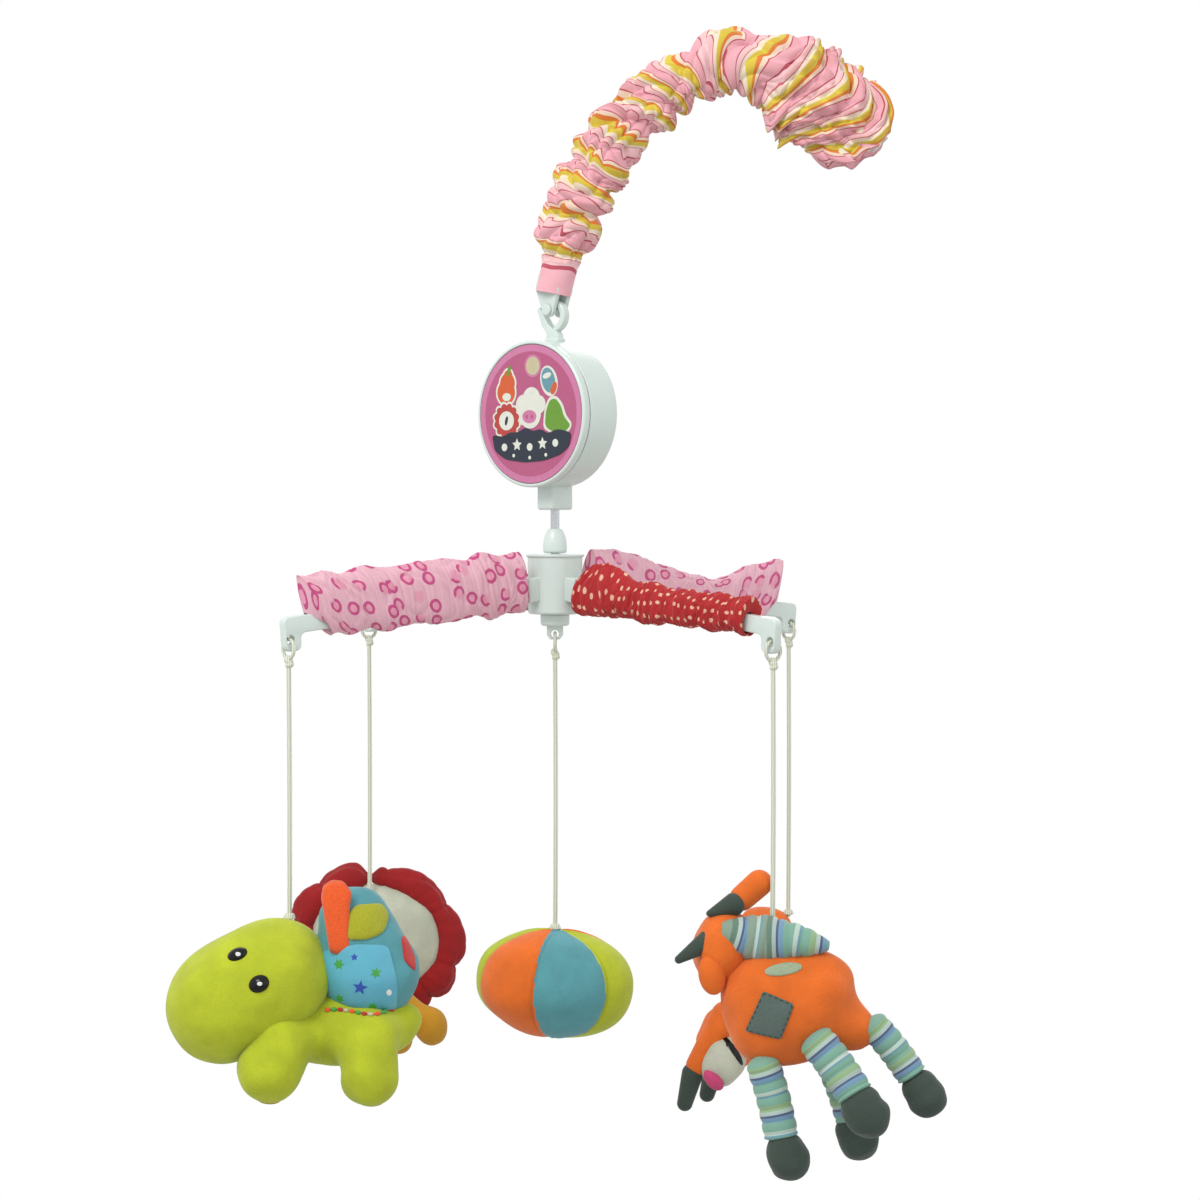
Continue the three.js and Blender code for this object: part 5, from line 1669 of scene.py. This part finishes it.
def build_lion(toy):
    """Its face looks away from the camera, with the body hanging on the near side."""
    build_mane(toy)
    face = toy.soft(
        "face_plush", [Lump((4, 3, -32), (39, 14, 33), (0, 12, 0))], "cream",
        uneven=(13, 22, 0.45), replaces=["lion_face"],
    )
    toy.soft("body_plush", [
        Lump((-2, -27, -58), (24, 24, 25)), Roll((12, -20, -60), (36, -21, -80), 8.0, 8.2),
        Lump((39, -22, -81), (9, 8.5, 10.5)), Roll((-16, -20, -66), (-28, -20, -84), 8.5, 9.5),
        Roll((12, -40, -70), (20, -46, -84), 8.5, 9), Roll((-14, -40, -70), (-22, -46, -84), 8.5, 9),
    ], "mustard", blend=6, uneven=(15, 20, 0.4), replaces=["lion_body"])
    disc = surface_of(face)
    away = (0, 1, 0)
    for i, x in enumerate((-6, 14)):
        toy.eye(
            i + 1, disc, "cream_plush", outline_ellipse(3.2, 4.0), (x, 16, -24),
            outline_ellipse(1.0, 1.0), (x + 1, 18, -22.5), away, thick=0.4, crown=1.8,
        )
    nose = outline_polygon([(-6, 4), (6, 4), (0, -4)], 2.5)
    toy.patch(
        "nose", disc, nose, "cream_plush", "pink", at=(4, 18, -36), facing=away, thick=0.8,
        crown=2.2,
    )
    for i, x in enumerate((-13, 21)):
        toy.patch(
            f"cheek_{i + 1}", disc, outline_ellipse(5.5, 4.5), "cream_plush", "mustard", at=(x, 16, -41),
            facing=away, thick=0.5, crown=0.6,
        )
    smile = [(x, -42 - 3.5 * math.cos((x - 4) / 9.0 * math.pi / 2)) for x in np.linspace(-5, 13, 40)]
    lips = [(-(x - 4), z + 44) for x, z in smile] + [(-(x - 4), z + 45.2) for x, z in smile[::-1]]
    toy.patch(
        "smile", disc, lips, "cream_plush", "black", at=(4, 16, -44), facing=away, thick=0.4,
        rings=2,
    )


# ---------------------------------------------------------------- cow
def knit_leg(toy, name, start, end, radius, hoof_at, hoof):
    """A striped knit tube with rolls in it, and a stuffed grey hoof."""
    start, end, hoof_at = (np.array(p, float) for p in (start, end, hoof_at))
    steps = np.linspace(0, 1, 90)
    bow = np.outer(np.sin(steps * math.pi), (1.2, 0.8, 0))
    path = start + steps[:, None] * (end - start) + bow
    rolls = np.abs(np.sin(steps * math.pi * 6.5)) ** 0.6
    rounded = np.sqrt(1 - (1 - np.clip(steps / 0.14, 0.04, 1)) ** 2)
    radii = radius * (0.92 + 0.11 * rolls) * rounded * (1 - 0.4 * np.clip((steps - 0.97) / 0.03, 0, 1))
    leg = shrink_tube(f"{toy.name}_{name}_knit", path + toy.at, radii, 36)
    mark_hollow_shade(leg, 1.3)
    toy.put(leg, "mint_knit", "knit")
    way = (hoof_at - end) / np.linalg.norm(hoof_at - end)
    toy.soft(f"{name}_hoof", [
        Roll(hoof_at - way * 3.5, hoof_at + way * 1.5, hoof * 0.88, hoof * 0.93),
    ], "grey", "orange_plush", voxel=1.3, uneven=(21, 14, 0.35))


def build_cow(toy):
    """An orange cow whose head is turned away, with knit legs and a knit mane."""
    body = toy.soft("body_plush", [
        Lump((3, 0, -26), (24.5, 24, 21)), Lump((9, 0, -42.5), (26.5, 23, 23.5)),
        Lump((25, 0, -31), (21, 24, 25.5), (0, 20, 0)),
        Lump((42, -3, -43), (15.5, 12, 11.5), (0, 30, 0)),
    ], "orange", blend=10, uneven=(17, 24, 0.7), replaces=["cow_body"])
    toy.soft("head_plush", [
        Lump((-19.5, 6, -6), (15, 20, 19)), Lump((-20, 22, -12), (13, 18, 16)),
    ], "orange", blend=10, uneven=(19, 20, 0.5), replaces=["cow_head"])
    toy.soft("muzzle_plush", [Lump((-20, 37, -16), (12, 11, 11), (0, 20, 0))], "cream")
    legs = (  # its start, end and radius, and its hoof's place and radius
        ((-2, -12, -58), (9, -14, -100), 8.6, (12.3, -15, -109), 11.4),
        ((23, -18, -46), (45.5, -27, -76), 9.4, (50.3, -29, -84), 12.2),
        ((33, 12, -60), (46.5, 12, -96), 8.2, (49.5, 12, -104.5), 11.4),
        ((53, -4, -41), (76, -6, -70), 7.9, (82, -7, -79), 11.0),
    )
    for i, leg in enumerate(legs):
        knit_leg(toy, f"leg_{i + 1}", *leg)
    share = np.linspace(0, 1, 110)
    path = np.stack((
        np.interp(share, (0, 0.45, 0.8, 1), (-22, 2, 21, 33)), -7 + 2 * np.sin(5 * share),
        np.interp(share, (0, 0.2, 0.45, 0.7, 1), (4.5, 1.5, -0.6, -0.4, -3.0)),
    ), axis=1)
    rolls = np.abs(np.sin(share * math.pi * 9)) ** 0.7
    places, sizes = (0, 0.12, 0.25, 0.45, 0.65, 0.85, 1), (4.5, 8.5, 11.0, 13.0, 9.6, 6.8, 2.6)
    radii = np.interp(share, places, sizes) * (0.92 + 0.1 * rolls)
    mane = shrink_tube(f"{toy.name}_mane_knit", path + toy.at, radii, 40)
    mark_hollow_shade(mane, 1.4)
    toy.put(mane, "mint_knit", "knit", "knit_grey", replaces=["cow_mane"])
    for polygon in mane.data.polygons:
        polygon.material_index = int((polygon.center.x - ORIGIN[0]) / MM - toy.at[0] < 8)
    hide = surface_of(body)
    square = outline_polygon([(-1, -23.5), (14.5, -30), (8, -48), (-9.5, -44.5)], 1.5)
    toy.patch("square_patch", hide, square, "orange_plush", "grey_felt", thick=0.9, crown=0.4)
    middle = square.mean(axis=0)
    at = toy.at + np.array((middle[0], PATCH_DEPTH, middle[1]))
    thread = stitches(
        "cow_patch_thread", hide, (square - middle) * 0.93, at, (0, -1, 0), lift=1.25, thick=0.22,
    )
    toy.put(thread, "orange_plush", "grey")
    toy.patch(
        "oval_patch", hide, oval(9.6, 2.8, 9.5, -13.6, 6), "orange_plush", "mint_felt", crown=0.5,
    )
    horns = (
        ((-28, -3, -1.5), (-42.8, -8, -10), 5.8, 2.2), ((-15, 2, 16.5), (-27, 0, 12.3), 6.0, 1.8),
    )
    for i, horn in enumerate(horns):
        toy.soft(f"horn_{i + 1}", [Roll(*horn)], "grey", "orange_plush", voxel=1.1)
    toy.soft("ear_1", [Roll((-10, 6, 19.5), (-1.5, 6, 27), 6.6, 6.9)], "orange", voxel=1.3)
    toy.soft("ear_2", [Lump((-26, -9, -17.5), (7, 4.6, 10.5), (0, -8, 0))], "orange", voxel=1.3)


# ---------------------------------------------------------------- calf
def build_calf(toy):
    """An orange calf that hangs head down."""
    toy.soft("body_plush", [
        Lump((1, 4, -44), (23.5, 21, 29), (0, 22, 0)), Lump((-17, 4, -3), (15, 13, 9.5), (0, 8, 0)),
        Roll((-15, 4, -7), (-3, 4, -30), 9, 15),
        Roll((10, 16, -56), (19, 28, -76), 9, 10), Roll((10, -10, -56), (19, -16, -76), 9, 10),
        Roll((12, 14, -30), (24, 26, -50), 9, 10), Roll((12, -8, -30), (24, -16, -50), 9, 10),
    ], "orange", blend=9, uneven=(27, 22, 0.5), replaces=["calf_body"])
    toy.soft("head_back", [
        Lump((-38, 5, -70), (19, 17, 22), (0, 25, 0)), Roll((-14, 4, -48), (-30, 4, -62), 13, 14),
    ], "orange", blend=9, uneven=(29, 20, 0.5), replaces=["calf_head"])
    face = toy.soft("face_plush", [
        Lump((-42.5, -7, -80.5), (13.5, 15, 16.5), (0, 25, 0)),
    ], "cream", blend=8, uneven=(31, 18, 0.4))
    nose = [Lump((-48.5, -17, -91), (4.6, 5, 7.4), (0, -42, 0))]
    toy.soft("nose", nose, "pink", "cream_plush", voxel=1.3)
    muzzle = surface_of(face)
    eyes = (((-35.5, -26, -73.5), (0.2, -1, 0)), ((-48, 14, -70), (-0.9, 0.6, 0)))
    for i, (at, facing) in enumerate(eyes):
        toy.patch(
            f"eye_line_{i + 1}", muzzle, outline_ellipse(10.5, 1.7, -58), "cream_plush", "black", at=at,
            facing=facing, thick=0.7,
        )
    for i, (x, y) in enumerate(((0, -8), (14, 20))):
        ear = [Roll((x - 41, y, -55), (x - 57.5, y, -84), 8.8, 6.9)]
        toy.soft(f"ear_{i + 1}", ear, "orange", voxel=1.3)
        tip = [Roll((x - 60.5, y, -89), (x - 65, y, -106.5), 6.4, 4.6)]
        toy.soft(f"ear_{i + 1}_tip", tip, "grey", "orange_plush", voxel=1.2)


# ---------------------------------------------------------------- the scene
def build():
    build_crib_arm()
    build_music_box()
    build_carousel()
    for make, toy in (
        (build_ball, Toy("ball", None, -233.3, -232.9, (-1, 0))),
        (build_turtle, Toy("turtle", 0, -213.3, -212.2, (-2.5, 6))),
        (build_cow, Toy("cow", 1, -220.3, -211.1, (-5, 0))),
        (build_calf, Toy("calf", 2, -244.3, -239.6, (4, -3.5))),
        (build_lion, Toy("lion", 3, -228.3, -236.8, (-1, 8.5))),
    ):
        hang(toy)
        make(toy)


set_camera()
set_lights()
bpy.context.scene.view_settings.view_transform = "Standard"
build()
slots = {entry["node"]: entry["material_slot"] for entry in frame["record"]["subparts"]}
for name, thing in frame["nodes"].items():
    key = slots[name] if slots[name] in ("steel", "brass") else "plastic"
    thing.data.materials.clear()
    thing.data.materials.append(MATERIALS[key])
